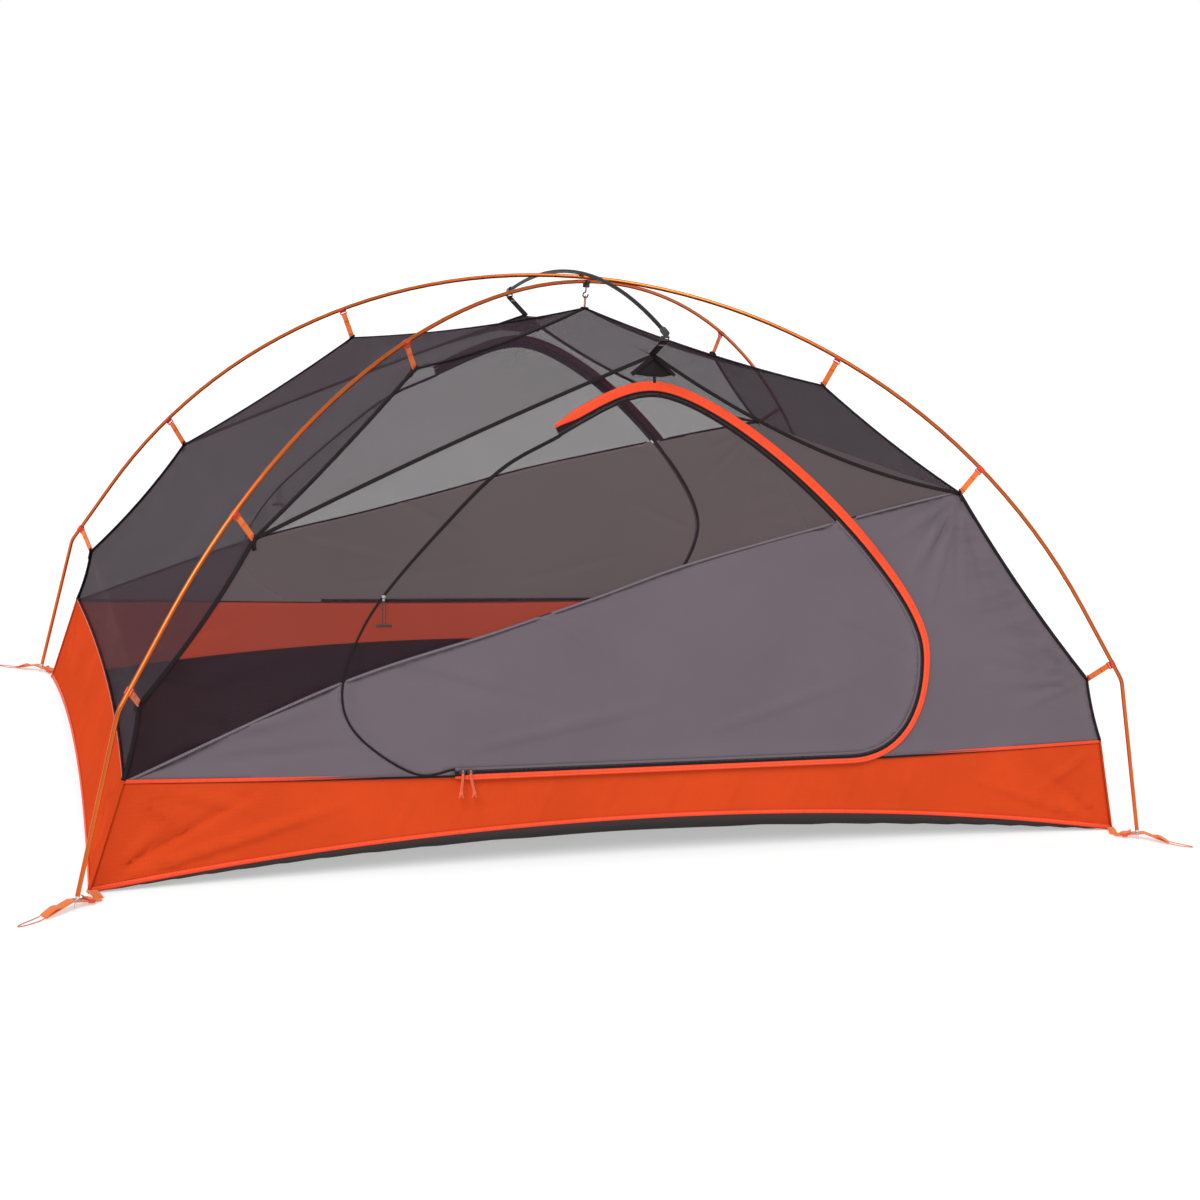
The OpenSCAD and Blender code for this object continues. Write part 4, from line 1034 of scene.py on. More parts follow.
class TENT_OT_roof_panels(bpy.types.Operator):
    """Makes the two net roof panels between the walls' top seams and the ridges"""
    bl_idname = "tent.roof_panels"
    bl_label = "Roof panels"

    def execute(self, context):
        h = sizes().crease
        for front, my in SIDES:
            low = on_wall(climbed(top_seam()), 0.0, my)
            left, right = (leg_seam(side, my, sizes().seam_sag) for side in (-1, 1))
            ridge = np.vstack([spaced(left[2], 0.01), spaced(left[3], 0.01)[1:], spaced(right[3][::-1], 0.01)[1:],
                               spaced(right[2][::-1], 0.01)[1:]])
            at_apex = length_of(np.vstack([left[2], left[3]]))
            share = distances(ridge)
            u = np.linspace(0.012, 0.988, 121)
            place = np.where(u < 0.5, u * 2 * at_apex, at_apex + (u - 0.5) * 2 * (share[-1] - at_apex))
            high = np.stack([np.interp(place, share, ridge[:, k]) for k in range(3)], 1)
            low = np.stack([np.interp(u, np.linspace(0, 1, len(low)), low[:, k]) for k in range(3)], 1)
            v = np.linspace(0, 1, 15)[:, None, None]
            rows = mix(low[None], high[None], v)
            rows[..., 2] -= 0.010 * np.sin(np.pi * v[..., 0]) * np.sin(np.pi * u)[None]
            flat = rows[..., :2].reshape(-1, 2)
            lines = []
            for q in (held_points(-1, my)[3], held_points(1, my)[3]):
                lines += fan((q[0], q[1]), -90 * my - 200, -90 * my + 20, 7, 0.30, 0.010, 0.7 * h, int(70 + 5 * q[0]))
            rows = creased(rows, flat, lines, 0.3 * h * ripple(flat, 0.12, 17 + my), (0.05, 0.15))
            piece = cloth_panel(f"Roof_net_{front}", rows, (0, 0, 0))
            settle(piece, "tent", "roof_net", (front + "_roof_mesh",))
            declare_sheet(piece)
        return {"FINISHED"}


def tub_seam(x):
    """The top edge of a long floor wall, as x and height up the wall."""
    return climbed(np.stack([x, tub_top(x)], 1))


def wall_outline():
    """The side wall's border in x and height, from its lower left corner up over the apex and down again."""
    flat = [climbed(strung(leg_seam(side, 1, sizes().seam_sag, 0.012)[:2])) for side in (-1, 1)]
    seam = climbed(top_seam(60))
    return [flat[0], seam, flat[1][::-1], tub_seam(np.linspace(1.060, -1.060, 160))]


def wall_creases(h):
    """Creases of a side wall and its door: gathers at the held points and soft folds along the door."""
    rows = fan((0.716, 0.55), 200, 290, 9, 0.26, 0.008, 1.2 * h, 3)
    rows += fan((1.030, 0.138), 120, 205, 8, 0.30, 0.008, 1.2 * h, 4)
    rows += fan((-1.030, 0.138), -25, 60, 7, 0.36, 0.010, 1.0 * h, 5)
    rows += fan((-0.818, 0.44), -80, 20, 8, 0.36, 0.010, 1.0 * h, 6)
    rows += fan((0.0, 0.82), 215, 325, 7, 0.18, 0.008, 0.7 * h, 7)
    for k in range(11):
        t = (k + 0.5) / 11
        a = mix((1.018, 0.160), (0.735, 0.530), t)
        rows.append((a, a + np.array([-0.13 - 0.04 * math.sin(5 * t), -0.012 + 0.02 * math.cos(7 * t)]), 0.007,
                     0.9 * h * (1 if k % 2 else -0.8)))
    rows += [((-0.95, 0.06), (-0.66, 0.13), 0.014, 0.9 * h), ((-0.90, 0.03), (-0.60, 0.05), 0.012, -0.8 * h),
             ((-0.36, 0.56), (-0.05, 0.30), 0.012, 0.8 * h), ((-0.46, 0.42), (-0.02, 0.16), 0.014, h),
             ((-0.30, 0.66), (0.14, 0.42), 0.010, 0.7 * h), ((-0.56, 0.20), (-0.20, 0.10), 0.014, -0.8 * h),
             ((-0.42, 0.03), (0.05, 0.12), 0.012, 0.8 * h), ((0.10, 0.05), (0.48, 0.16), 0.012, 0.7 * h),
             ((0.62, 0.20), (0.30, 0.34), 0.012, 0.7 * h), ((0.50, 0.44), (0.18, 0.52), 0.010, -0.6 * h)]
    return rows


def side_wall_pieces(front, my):
    """Cuts one wall out of its plane: the wall's net and cloth, and the door's."""
    grid = sizes().panel_grid
    border = wall_outline()
    outline = np.vstack([b[:-1] for b in border])
    hole, door = zip_at(HOLE_IN), zip_at(DOOR_IN)
    low = hole[:, 1] < 0.012
    hole[low, 1] -= 0.03 * smooth((0.012 - hole[low, 1]) / 0.02)
    hinge = HINGE
    hole_loop = np.vstack([hole, hinge[::-1]])
    door_loop = np.vstack([door, hinge[::-1][1:-1]])
    lines = [np.vstack([outline, outline[:1]]), np.vstack([hole_loop, hole_loop[:1]]), door, CLOTH_LINE]
    x, y = np.meshgrid(np.arange(-1.07, 1.07, grid), np.arange(-0.03, 0.84, grid * 0.866))
    x = x + (np.arange(x.shape[0]) % 2)[:, None] * grid / 2
    free = np.stack([x.ravel(), y.ravel()], 1)
    free = free[inside(free, outline)]
    for line in lines:
        free = free[distance_to(free, line) > grid * 0.45]
    verts, edges = [], []
    for line in lines:
        start = len(verts)
        verts += [Vector(p) for p in line]
        edges += [(start + i, start + i + 1) for i in range(len(line) - 1)]
    verts += [Vector(p) for p in free]
    verts, _, faces = geometry.delaunay_2d_cdt(verts, edges, [], 0, 1e-6)[:3]
    flat = np.array([tuple(v) for v in verts])
    faces = np.array([f for f in faces if len(f) == 3])
    middle = flat[faces].mean(1)
    in_wall, in_hole, in_door = (inside(middle, loop) for loop in (outline, hole_loop, door_loop))
    below = middle[:, 1] < np.interp(middle[:, 0], CLOTH_LINE[:, 0], CLOTH_LINE[:, 1], left=-1, right=2)
    fade = np.ones(len(flat))
    for line, reach in ((lines[0], 0.035), (zip_at(0.025), 0.040), (hinge, 0.030)):
        fade = np.minimum(fade, smooth(distance_to(flat, line) / reach))
    h = sizes().crease
    lift = creases(flat, wall_creases(h)) + 0.35 * h * ripple(flat, 0.11, 23 + my) + 0.12 * h * ripple(flat, 0.03, 29)
    lift = (lift - 0.004) * fade
    space = on_wall(flat, lift, my)
    made = {}
    for key, keep in (("wall_net", in_wall & ~in_hole & ~below), ("wall_cloth", in_wall & ~in_hole & below),
                      ("door_net", in_wall & in_door & ~below), ("door_cloth", in_wall & in_door & below)):
        chosen = faces[keep]
        used, index = np.unique(chosen, return_inverse=True)
        piece = mesh_piece(f"{front.capitalize()}_{key}", space[used], index.reshape(chosen.shape), flat[used])
        made[key] = thicken(face_away(piece), sizes().cloth)
    return made


class TENT_OT_side_walls(bpy.types.Operator):
    """Makes both side walls and their doors, net above a slanted line and cloth below it"""
    bl_idname = "tent.side_walls"
    bl_label = "Side walls and doors"

    def execute(self, context):
        for front, my in SIDES:
            for key, piece in side_wall_pieces(front, my).items():
                part, kind = key.split("_")
                word, finish, inner = ("mesh", "net", "net") if kind == "net" else ("cloth", "canopy", "canopy_inner_painted_glow")
                cad = (f"{front}_{part}_{word}",)
                lined(piece, finish, inner)
                if part == "wall":
                    settle(piece, "tent", stands_for=cad)
                    declare_sheet(piece)
                else:
                    hang(piece, stands_for=cad)
                    declare_sheet(piece)
        return {"FINISHED"}


def ribbon(name, line, my, width, thick, lift=0.0, taper=None):
    """A tape or ribbon that lies along a line of a side wall."""
    path = on_wall(line, lift, my)
    return sweep(name, path, wall_out(my), flat_tape(width, thick), taper=taper)


class TENT_OT_storm_flaps(bpy.types.Operator):
    """Makes the bright flaps over the zips with their two rows of stitches"""
    bl_idname = "tent.storm_flaps"
    bl_label = "Storm flaps"

    def execute(self, context):
        wide = sizes().flap
        for front, my in SIDES:
            n = len(ZIP)
            narrow = 0.45 * smooth((np.arange(n) / n - 0.30) / 0.35)
            line = zip_at((wide * (1 + narrow) / 2)[:, None])
            taper = 0.35 + 0.65 * smooth(np.arange(n) / 5) * smooth((n - 1 - np.arange(n)) / 3)
            taper = taper * (1 - narrow)
            w = wide / 2
            profile = np.array([(-w, 0), (-w * 0.97, 0.0008), (-w * 0.5, 0.0022), (0, 0.0026), (w * 0.6, 0.0020),
                                (w, 0.0010), (w, 0.0002), (w * 0.5, 0.0010), (0, 0.0014), (-w * 0.6, 0.0006)])
            path = on_wall(line, 0.0010, my)
            piece = sweep(front.capitalize() + "_storm_flap", path, wall_out(my), profile * (my, 1), taper=taper)
            settle(piece, "tent", "flap", (front + "_storm_flap",))
            rows = []
            for d, lift in ((narrow * wide + 0.003, 0.0020), (np.full(n, wide - 0.003), 0.0024)):
                p = zip_at(d[:, None])[4:-2]
                rows.append(row_of("stitches", on_wall(p, lift, my), STITCH, sizes().stitch, wall_out(my), "thread"))
            settle(join(front.capitalize() + "_flap_stitches", rows), "tent", "thread")
        return {"FINISHED"}


class TENT_OT_zips(bpy.types.Operator):
    """Makes the zip tapes and their teeth, and the door's own tape"""
    bl_idname = "tent.zips"
    bl_label = "Zips"

    def execute(self, context):
        for front, my in SIDES:
            tape = ribbon(front.capitalize() + "_zip_tape", zip_at(0.0195), my, 0.011, 0.0007, -0.0004)
            bed = ribbon("bed", zip_at(0.026), my, 0.0036, 0.0011, -0.0006)
            settle(join(front.capitalize() + "_zip_tape", [tape, bed]), "tent", "zip_tape",
                   (front + "_zip_chain",))
            edge = zip_at(0.0305)
            below = edge[:, 1] < np.interp(edge[:, 0], CLOTH_LINE[:, 0], CLOTH_LINE[:, 1])
            for word, keep, finish in (("upper", ~below, "zip_tape"), ("lower", below, "canopy")):
                strips = [ribbon("strip", run, my, 0.0052, 0.0010, -0.0002) for run in runs_where(edge, keep)]
                hang(join(f"{front.capitalize()}_door_tape_{word}", strips), finish)
            line = on_wall(zip_at(0.026), -0.0004, my)
            teeth = row_of(front.capitalize() + "_zip_teeth", line, ZIP_TOOTH, sizes().tooth, wall_out(my), "teeth")
            settle(teeth, "tent", "teeth")
        return {"FINISHED"}


# ---- Tapes, webbing and clips ----

def seam_up(side, my, i):
    """Outward direction of the seam on a leg's stretch i."""
    if i < 2:
        return unit(np.array([side * 0.75, -my, 0.25]))
    return unit(np.array([side * 0.45, -my * 0.35, 1.0]))


def runs_where(line, keep):
    """The stretches of a line whose points are kept, three points or more each."""
    out, start = [], None
    for i, good in enumerate(list(keep) + [False]):
        if good and start is None:
            start = i
        if not good and start is not None:
            if i - start >= 3:
                out.append(line[start:i])
            start = None
    return out


class TENT_OT_seam_bindings(bpy.types.Operator):
    """Makes the black tapes on the seams, the seam beside each door, the cloth line's seam and the apex patches"""
    bl_idname = "tent.seam_bindings"
    bl_label = "Seam tapes"

    def execute(self, context):
        wide = sizes().binding
        tapes = []
        for side, my in CORNERS:
            for i, run in enumerate(leg_seam(side, my, sizes().seam_sag, 0.010)):
                up = seam_up(side, my, i)
                tapes.append(sweep("tape", run + up * 0.0006, up, flat_tape(wide, 0.0030)))
        for _, my in SIDES:
            path = on_wall(climbed(top_seam(60)), 0.0012, my)
            tapes.append(sweep("tape", path, (0, -my, 0.7), flat_tape(wide * 0.9, 0.0026)))
            path = on_wall(tub_seam(np.linspace(-1.055, 1.055, 120)), -0.0022, my)
            tapes.append(sweep("tape", path, (0, my, -0.3), flat_tape(wide, 0.0016)))
            inner = on_wall(CLOTH_LINE, -0.0040, my)
            gone = inside(CLOTH_LINE, np.vstack([zip_at(0.012), HINGE[::-1]]))
            for run in runs_where(inner, ~gone):
                tapes.append(sweep("tape", run, -wall_out(my), flat_tape(0.006, 0.0010)))
        for side in (-1, 1):
            y = np.linspace(-0.670, 0.670, 80)
            x = side * (end_top(y) + 0.0012)
            tapes.append(sweep("tape", np.stack([x, y, np.full_like(y, TUB_H + 0.003)], 1), (side, 0, 0.2),
                               flat_tape(0.0055, 0.0018)))
        knots = [p for side, my in CORNERS for p in held_points(side, my)[1:4]] + [PEAK]
        settle(join("Seam_tapes", tapes), "tent", "tape", ("seam_bindings",))
        self.patches(knots)
        for front, my in SIDES:
            self.door_seams(front, my)
        return {"FINISHED"}

    def patches(self, knots):
        """Doubled cloth where the clips pull, and at the apex of each side wall."""
        pieces = []
        for k, p in enumerate(knots):
            up = unit(p - CENTRE) if k < len(knots) - 1 else np.array([0, 0, 1.0])
            side = unit(np.cross(up, (0, 0, 1))) if abs(up[2]) < 0.99 else np.array([1.0, 0, 0])
            low = np.cross(side, up)
            a = np.linspace(0, 2 * math.pi, 20, endpoint=False)
            radius = 0.0095 * (1 + 0.08 * np.cos(3 * a))
            ring = p + up * 0.0022 + (np.cos(a) * radius)[:, None] * side + (np.sin(a) * radius)[:, None] * low
            top = p + up * 0.0038
            pieces.append(patch("patch", ring, top, np.vstack([ring, top])[:, :2], 0.0025))
        for _, my in SIDES:
            flat = up_wall([(-48, 961), (-24, 980), (0, 998), (22, 981), (42, 962), (20, 958), (0, 957), (-24, 959)])
            ring = on_wall(flat, 0.0013, my)
            pieces.append(patch("gusset", ring, ring.mean(0), np.vstack([flat, flat.mean(0)]), 0.0010))
            for line, wide in (([(-2, 996), (-26, 978), (-50, 960)], 0.009),
                               ([(2, 996), (24, 979), (45, 961)], 0.007), ([(0, 960), (0, 945)], 0.006)):
                pieces.append(ribbon("strap", spaced(up_wall(line), 0.004), my, wide, 0.0012, 0.0026))
        for piece in pieces:
            bpy.context.view_layer.update()
            if piece.modifiers:
                graph = bpy.context.evaluated_depsgraph_get()
                mesh = bpy.data.meshes.new_from_object(piece.evaluated_get(graph), depsgraph=graph)
                piece.modifiers.clear()
                piece.data = mesh
        settle(join("Pull_patches", pieces), "tent", "dark_webbing")

    def door_seams(self, front, my):
        """The seam that the door folds at, and the pale seam between net and cloth."""
        name = front.capitalize()
        n = len(HINGE)
        wide = 1.15 - 0.5 * smooth(np.linspace(-0.2, 1.4, n))
        seam = ribbon(name + "_fold_seam", HINGE, my, 0.0064, 0.0020, 0.0004, taper=wide)
        hang(seam, "tape")
        door = np.vstack([zip_at(DOOR_IN + 0.006), HINGE[::-1]])
        on_door = inside(CLOTH_LINE, door)
        in_zip = inside(CLOTH_LINE, np.vstack([zip_at(0), HINGE[::-1]])) & ~on_door
        for word, keep, moves in (("door", on_door, True), ("wall", ~on_door & ~in_zip, False)):
            strips, rows = [], []
            for run in runs_where(CLOTH_LINE, keep):
                strips.append(ribbon("strip", run, my, 0.0055, 0.0012, 0.0002))
                rows.append(row_of("row", on_wall(run, 0.0009, my), FINE_STITCH, sizes().stitch, wall_out(my),
                                   "pale_thread"))
            strip = join(f"{name}_{word}_line", strips)
            row = join(f"{name}_{word}_line_stitches", rows)
            if moves:
                hang(strip, "canopy")
                hang(row, "pale_thread")
            else:
                settle(strip, "tent", "canopy")
                settle(row, "tent", "pale_thread")


def pole_at(s, side, my):
    """Place on a long pole at the distance s from its top, and its direction there, on the leg at one corner."""
    high = POLE_HIGH[0 if side * my < 0 else 1]

    def turned(a):
        return np.array([math.cos(a), -math.sin(a)])

    def radial(a):
        return np.array([math.sin(a), math.cos(a)])

    arc = ARC_R * ARC_A
    a = min(s, arc) / ARC_R
    p = np.array([0, high - ARC_R]) + ARC_R * radial(a) + max(s - arc, 0.0) * turned(a)
    c, d = math.cos(POLE_TURN), math.sin(POLE_TURN)
    place = np.array([side * p[0] * c, -my * p[0] * d, p[1]])
    along = np.array([side * math.cos(a) * c, -my * math.cos(a) * d, -math.sin(a)])
    return place, along


def leg_angle(side, my):
    """How steeply a pole's leg stands: a tangent from its foot to the elbow's circle."""
    high = POLE_HIGH[0 if side * my < 0 else 1]
    centre = np.array([0, high - ARC_R]) + (ARC_R - ELBOW_R) * np.array([math.sin(ARC_A), math.cos(ARC_A)]) \
        + STRAIGHT * np.array([math.cos(ARC_A), -math.sin(ARC_A)])
    to_foot = np.array([FOOT_D, TIP_SHIFT]) - centre
    return math.atan2(-to_foot[1], to_foot[0]) + math.asin(ELBOW_R / np.linalg.norm(to_foot))


def foot_frame(side, my):
    """Origin and X, Y, Z of a pole's foot: X outwards, Z up the leg."""
    a = leg_angle(side, my)
    c, d = math.cos(POLE_TURN) * side, math.sin(POLE_TURN) * -my
    x = np.array([math.sin(a) * c, math.sin(a) * d, math.cos(a)])
    z = np.array([-math.cos(a) * c, -math.cos(a) * d, math.sin(a)])
    return np.array([FOOT_D * c, FOOT_D * d, TIP_SHIFT]), x, np.cross(z, x), z


def clip_places():
    """Every clip: the pole's place and direction there, and the held point."""
    arc = ARC_R * ARC_A
    out = []
    for side, my in CORNERS:
        middle = ARC_R * math.radians(45.75 if side < 0 else 40)
        reach = (arc + STRAIGHT - 0.030, middle, ARC_R * math.radians(24.1))
        out += [(*pole_at(s, side, my), hold) for s, hold in zip(reach, held_points(side, my)[1:4])]
    return out


SHARP = math.radians(30)


def rounded_copy(name, node, width):
    """A copy of a CAD node with merged points and softened edges."""
    work = bmesh.new()
    work.from_mesh(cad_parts[node].data)
    bmesh.ops.remove_doubles(work, verts=work.verts, dist=2e-6)
    bmesh.ops.dissolve_limit(work, angle_limit=math.radians(0.5), verts=work.verts, edges=work.edges)
    piece = piece_from(name, work)
    piece.data.set_sharp_from_angle(angle=SHARP)
    bevel = piece.modifiers.new("Edges", "BEVEL")
    bevel.width, bevel.segments, bevel.angle_limit = width, 2, SHARP
    bevel.limit_method, bevel.use_clamp_overlap = "ANGLE", True
    return piece


class TENT_OT_clip_tabs(bpy.types.Operator):
    """Makes the webbing tabs that join the clips to the seams, with their bar tacks and black tails"""
    bl_idname = "tent.clip_tabs"
    bl_label = "Clip tabs"

    def execute(self, context):
        tabs, tacks, tails = [], [], []
        for at, along, hold in clip_places():
            to = hold - at
            flat = unit(to - (to @ along) * along)
            out = unit(np.cross(along, flat))
            out = out if out @ (hold - CENTRE) > 0 else -out
            eye = at + flat * (EYE_IN + EYE_SLOT + EYE_BAR + 0.0004)
            end = hold - TAB_END * 0.3 * unit(hold - eye)
            path = spaced([eye, end], 0.004)
            t = np.linspace(0, 1, len(path))[:, None]
            for sign in (-1, 1):
                tabs.append(sweep("tab", path + out * sign * 0.0011 * (1 - 0.35 * t), out, flat_tape(TAB_W, 0.0016)))
            lap = spaced([eye - flat * 0.0034, eye], 0.001)
            tabs.append(sweep("tab", lap, out, flat_tape(EYE_HALF * 1.8, 0.0024)))
            for share in (0.30, 0.86):
                tacks.append(bar_tack(mix(eye, end, share), along * TAB_W * 0.40, out, 0.0026, 0.0046))
            up = unit(hold - CENTRE)
            inwards = unit(flat - (flat @ up) * up)
            path = np.array([hold + up * 0.0030 + inwards * d - up * d * 0.10 for d in (-0.002, 0.006, 0.014, 0.022)])
            tails.append(sweep("tail", path, up, flat_tape(TAB_W * 0.95, 0.0018)))
        settle(join("Clip_tabs", tabs), "tent", "webbing", ("clip_tabs",))
        settle(join("Clip_tab_tacks", tacks), "tent", "flap")
        settle(join("Clip_tab_tails", tails), "tent", "dark_webbing")
        return {"FINISHED"}


class TENT_OT_pole_clips(bpy.types.Operator):
    """Makes the snap clips, the four buckles, the peak clip and the ridge cups with moulded edges"""
    bl_idname = "tent.pole_clips"
    bl_label = "Clips and buckles"

    def execute(self, context):
        rows = [("Pole_clips", "pole_clips", 0.0004, "tent", "clip_orange", "plastic")]
        rows += [(f"Buckle_{fy}_{fx}", f"buckle_{fy}_{fx}", 0.0006, f"adjuster_{fy}_{fx}", "clip_orange", "plastic")
                 for fy, _ in SIDES for fx in ("left", "right")]
        rows += [("Peak_clip", "peak_clip", 0.0004, "tent", "plastic_black", "dark"),
                 ("Ridge_cups", "brow_cups", 0.0006, "tent", "plastic_black", "dark")]
        for name, node, soft, body, slot, finish in rows:
            settle(rounded_copy(name, node, soft), body, finish, (node,))
        return {"FINISHED"}


class TENT_OT_poles(bpy.types.Operator):
    """Finishes the poles, ferrules, tips, grommets and sliders, whose shapes come from the frame"""
    bl_idname = "tent.poles"
    bl_label = "Poles and metal parts"

    def execute(self, context):
        kept = {"pole": ("main_pole_a", "main_pole_b"), "dark_pole": ("brow_pole",),
                "steel": ("pole_ferrules", "pole_tips", "brow_tips", "corner_grommets"),
                "elastic": ("shock_cord_a", "shock_cord_b"), "dark": ("peak_hook",),
                "enamel": tuple(f"{f}_slider_{k}" for f, _ in SIDES for k in "ab")}
        for finish, nodes in kept.items():
            for node in nodes:
                paint(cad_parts[node], finish)
        return {"FINISHED"}


class TENT_OT_corner_straps(bpy.types.Operator):
    """Makes the webbing straps that tension the floor's corners at the poles' feet"""
    bl_idname = "tent.corner_straps"
    bl_label = "Corner straps"

    def execute(self, context):
        straps, tacks, tails = [], [], []
        for side, my in CORNERS:
            o, x, y, z = foot_frame(side, my)

            def at(p):
                return np.array([o + x * a + z * b for a, b in p])

            start, turn = (GROMMET_X, STRAP_Z), (GROMMET_X + 0.004, STRAP_Z - 0.002)
            inner = (RING_X - RING_GAP, STRAP_Z + 0.0016)
            outer = (start[0] + STRAP_REACH * math.cos(STRAP_TILT), STRAP_Z - STRAP_REACH * math.sin(STRAP_TILT))
            bends = through([inner, (RING_X, STRAP_Z), (-0.030, STRAP_Z), (0.010, STRAP_Z), turn,
                             mix(turn, outer, 0.5), outer], 5)
            straps.append(sweep("strap", at(bends), z, flat_tape(STRAP_W, STRAP_T)))
            fold = through([mix(start, outer, 0.42), mix(start, outer, 0.62) + np.array([0.002, 0.0032]), outer], 5)
            straps.append(sweep("strap", at(fold) + z * 0.0012, z, flat_tape(STRAP_W * 0.97, 0.0016)))
            corner = np.array([side * (HALF_L - 0.004), -my * (HALF_W - 0.003), 0.007])
            link = spaced([at([inner])[0], mix(at([inner])[0], corner, 0.5) + (0, 0, 0.002), corner], 0.006)
            straps.append(sweep("link", link, (0, 0, 1), flat_tape(STRAP_W * 0.9, STRAP_T)))
            for share in (0.50, 0.60, 0.70):
                p = o + x * mix(start[0], outer[0], share) + z * (mix(STRAP_Z, outer[1], share) + 0.0016)
                tacks.append(bar_tack(p, y * 0.008, z, 0.0022, 0.0036))
            tail = through([(-0.036, STRAP_Z + 0.0024), (-0.020, STRAP_Z + 0.0038), (-0.013, STRAP_Z + 0.0085),
                            (-0.016, STRAP_Z + 0.0135), (-0.024, STRAP_Z + 0.0125)], 6)
            tails.append(sweep("tail", at(tail[:12]), z, flat_tape(STRAP_W * 0.9, 0.0014)))
        settle(join("Corner_straps", straps), "tent", "webbing", ("corner_straps",))
        settle(join("Corner_strap_tacks", tacks), "tent", "flap")
        settle(join("Corner_strap_tails", tails), "tent", "webbing")
        return {"FINISHED"}


def tube(name, path, d, sides=10):
    """A round cord or rod along a path."""
    path = np.asarray(path, float)
    along = unit(np.gradient(path, axis=0))
    up = np.where(np.abs(along[:, 2:]) > 0.9, (0.0, 1.0, 0.0), (0.0, 0.0, 1.0))
    return sweep(name, path, up, circle(d, sides))


def ball(name, at, d, squash=1.0, lumps=0.0):
    """A knot or a knob: a lumpy ball."""
    work = bmesh.new()
    bmesh.ops.create_icosphere(work, subdivisions=3, radius=d / 2)
    for v in work.verts:
        v.co *= 1 + lumps * math.sin(9 * v.co.x / d + 5 * v.co.z / d) * math.cos(8 * v.co.y / d + 2)
        v.co.z *= squash
        v.co += Vector(at)
    return piece_from(name, work)


class TENT_OT_ridge_straps(bpy.types.Operator):
    """Makes the straps under the ridge pole's cups and the cord loop that hangs the cabin from the hook"""
    bl_idname = "tent.ridge_straps"
    bl_label = "Ridge straps and peak loop"

    def execute(self, context):
        straps, tacks = [], []
        for _, my in SIDES:
            down = np.array([0, my * math.sin(BROW_A), -math.cos(BROW_A)])
            back = np.array([0, my * math.cos(BROW_A), math.sin(BROW_A)])
            end = np.array([BROW_X, -my * BROW_REACH, BROW_HIGH - BROW_RISE])
            eye = end + CUP_DROP * down - CUP_BACK * back
            apex = wall_point(0.0, (APEX_Z - TUB_H) * SLOPE, 0.0, my) + np.array([0, my * 0.003, 0.003])
            path = spaced([eye, apex], 0.006)
            up = unit(np.cross(np.array([1.0, 0, 0]), apex - eye))
            up = up if up @ (eye - CENTRE) > 0 else -up
            for sign in (-1, 1):
                straps.append(sweep("strap", path + up * 0.0008 * sign, up, flat_tape(0.0155, 0.0014)))
            tacks.append(bar_tack(mix(eye, apex, 0.25), np.array([0.006, 0, 0]), up, 0.0025, 0.0044))
        settle(join("Ridge_straps", straps), "tent", "dark_webbing", ("brow_straps",))
        settle(join("Ridge_strap_tacks", tacks), "tent", "pale_thread")
        low, high, r = LOOP_LOW, LOOP_HIGH, LOOP_R
        a = np.linspace(-math.pi / 2 + 0.25, math.pi / 2, 14)
        right = [(0, r * math.cos(t), low + r * math.sin(t)) for t in a if math.sin(t) < 0]
        right += [(0, r, low), (0, r, (low + high) / 2), (0, r, high)]
        right += [(0, r * math.cos(t), high + r * math.sin(t)) for t in a if math.sin(t) > 0.05]
        left = [(0, -y, z) for _, y, z in right[::-1]]
        path = spaced(right + left, 0.0012)
        loop = tube("Peak_loop", path, 0.0025)
        settle(loop, "tent", "cord", ("peak_loop",))
        return {"FINISHED"}


STAKE_ROUTE = [(0.0668, 0.007, 0.0038), (0.072, 0.007, 0.0028), (0.080, 0.007, 0.0020), (0.090, 0.0065, 0.0014),
               (0.100, 0.0055, 0.0012), (0.109, 0.004, 0.0012), (0.115, 0.0025, 0.0012), (0.118, 0.0, 0.0012)]


class TENT_OT_stake_loops(bpy.types.Operator):
    """Makes the thin cord loops at the corners that take the stakes"""
    bl_idname = "tent.stake_loops"
    bl_label = "Stake loops"

    def execute(self, context):
        route = STAKE_ROUTE + [(x, -y, z) for x, y, z in STAKE_ROUTE[-2::-1]]
        route = through(route, 4)
        c, d = math.cos(POLE_TURN), math.sin(POLE_TURN)
        for fy, my in SIDES:
            for fx, side in (("left", -1), ("right", 1)):
                x, y = route[:, 0] + FOOT_D, route[:, 1]
                path = np.stack([(x * c - y * d) * side, (x * d + y * c) * -my, route[:, 2]], 1)
                node = f"stake_loop_{fy}_{fx}"
                loop = tube(node.capitalize(), path, 0.002, 8)
                settle(loop, "tent", "cord", (node,))
        return {"FINISHED"}


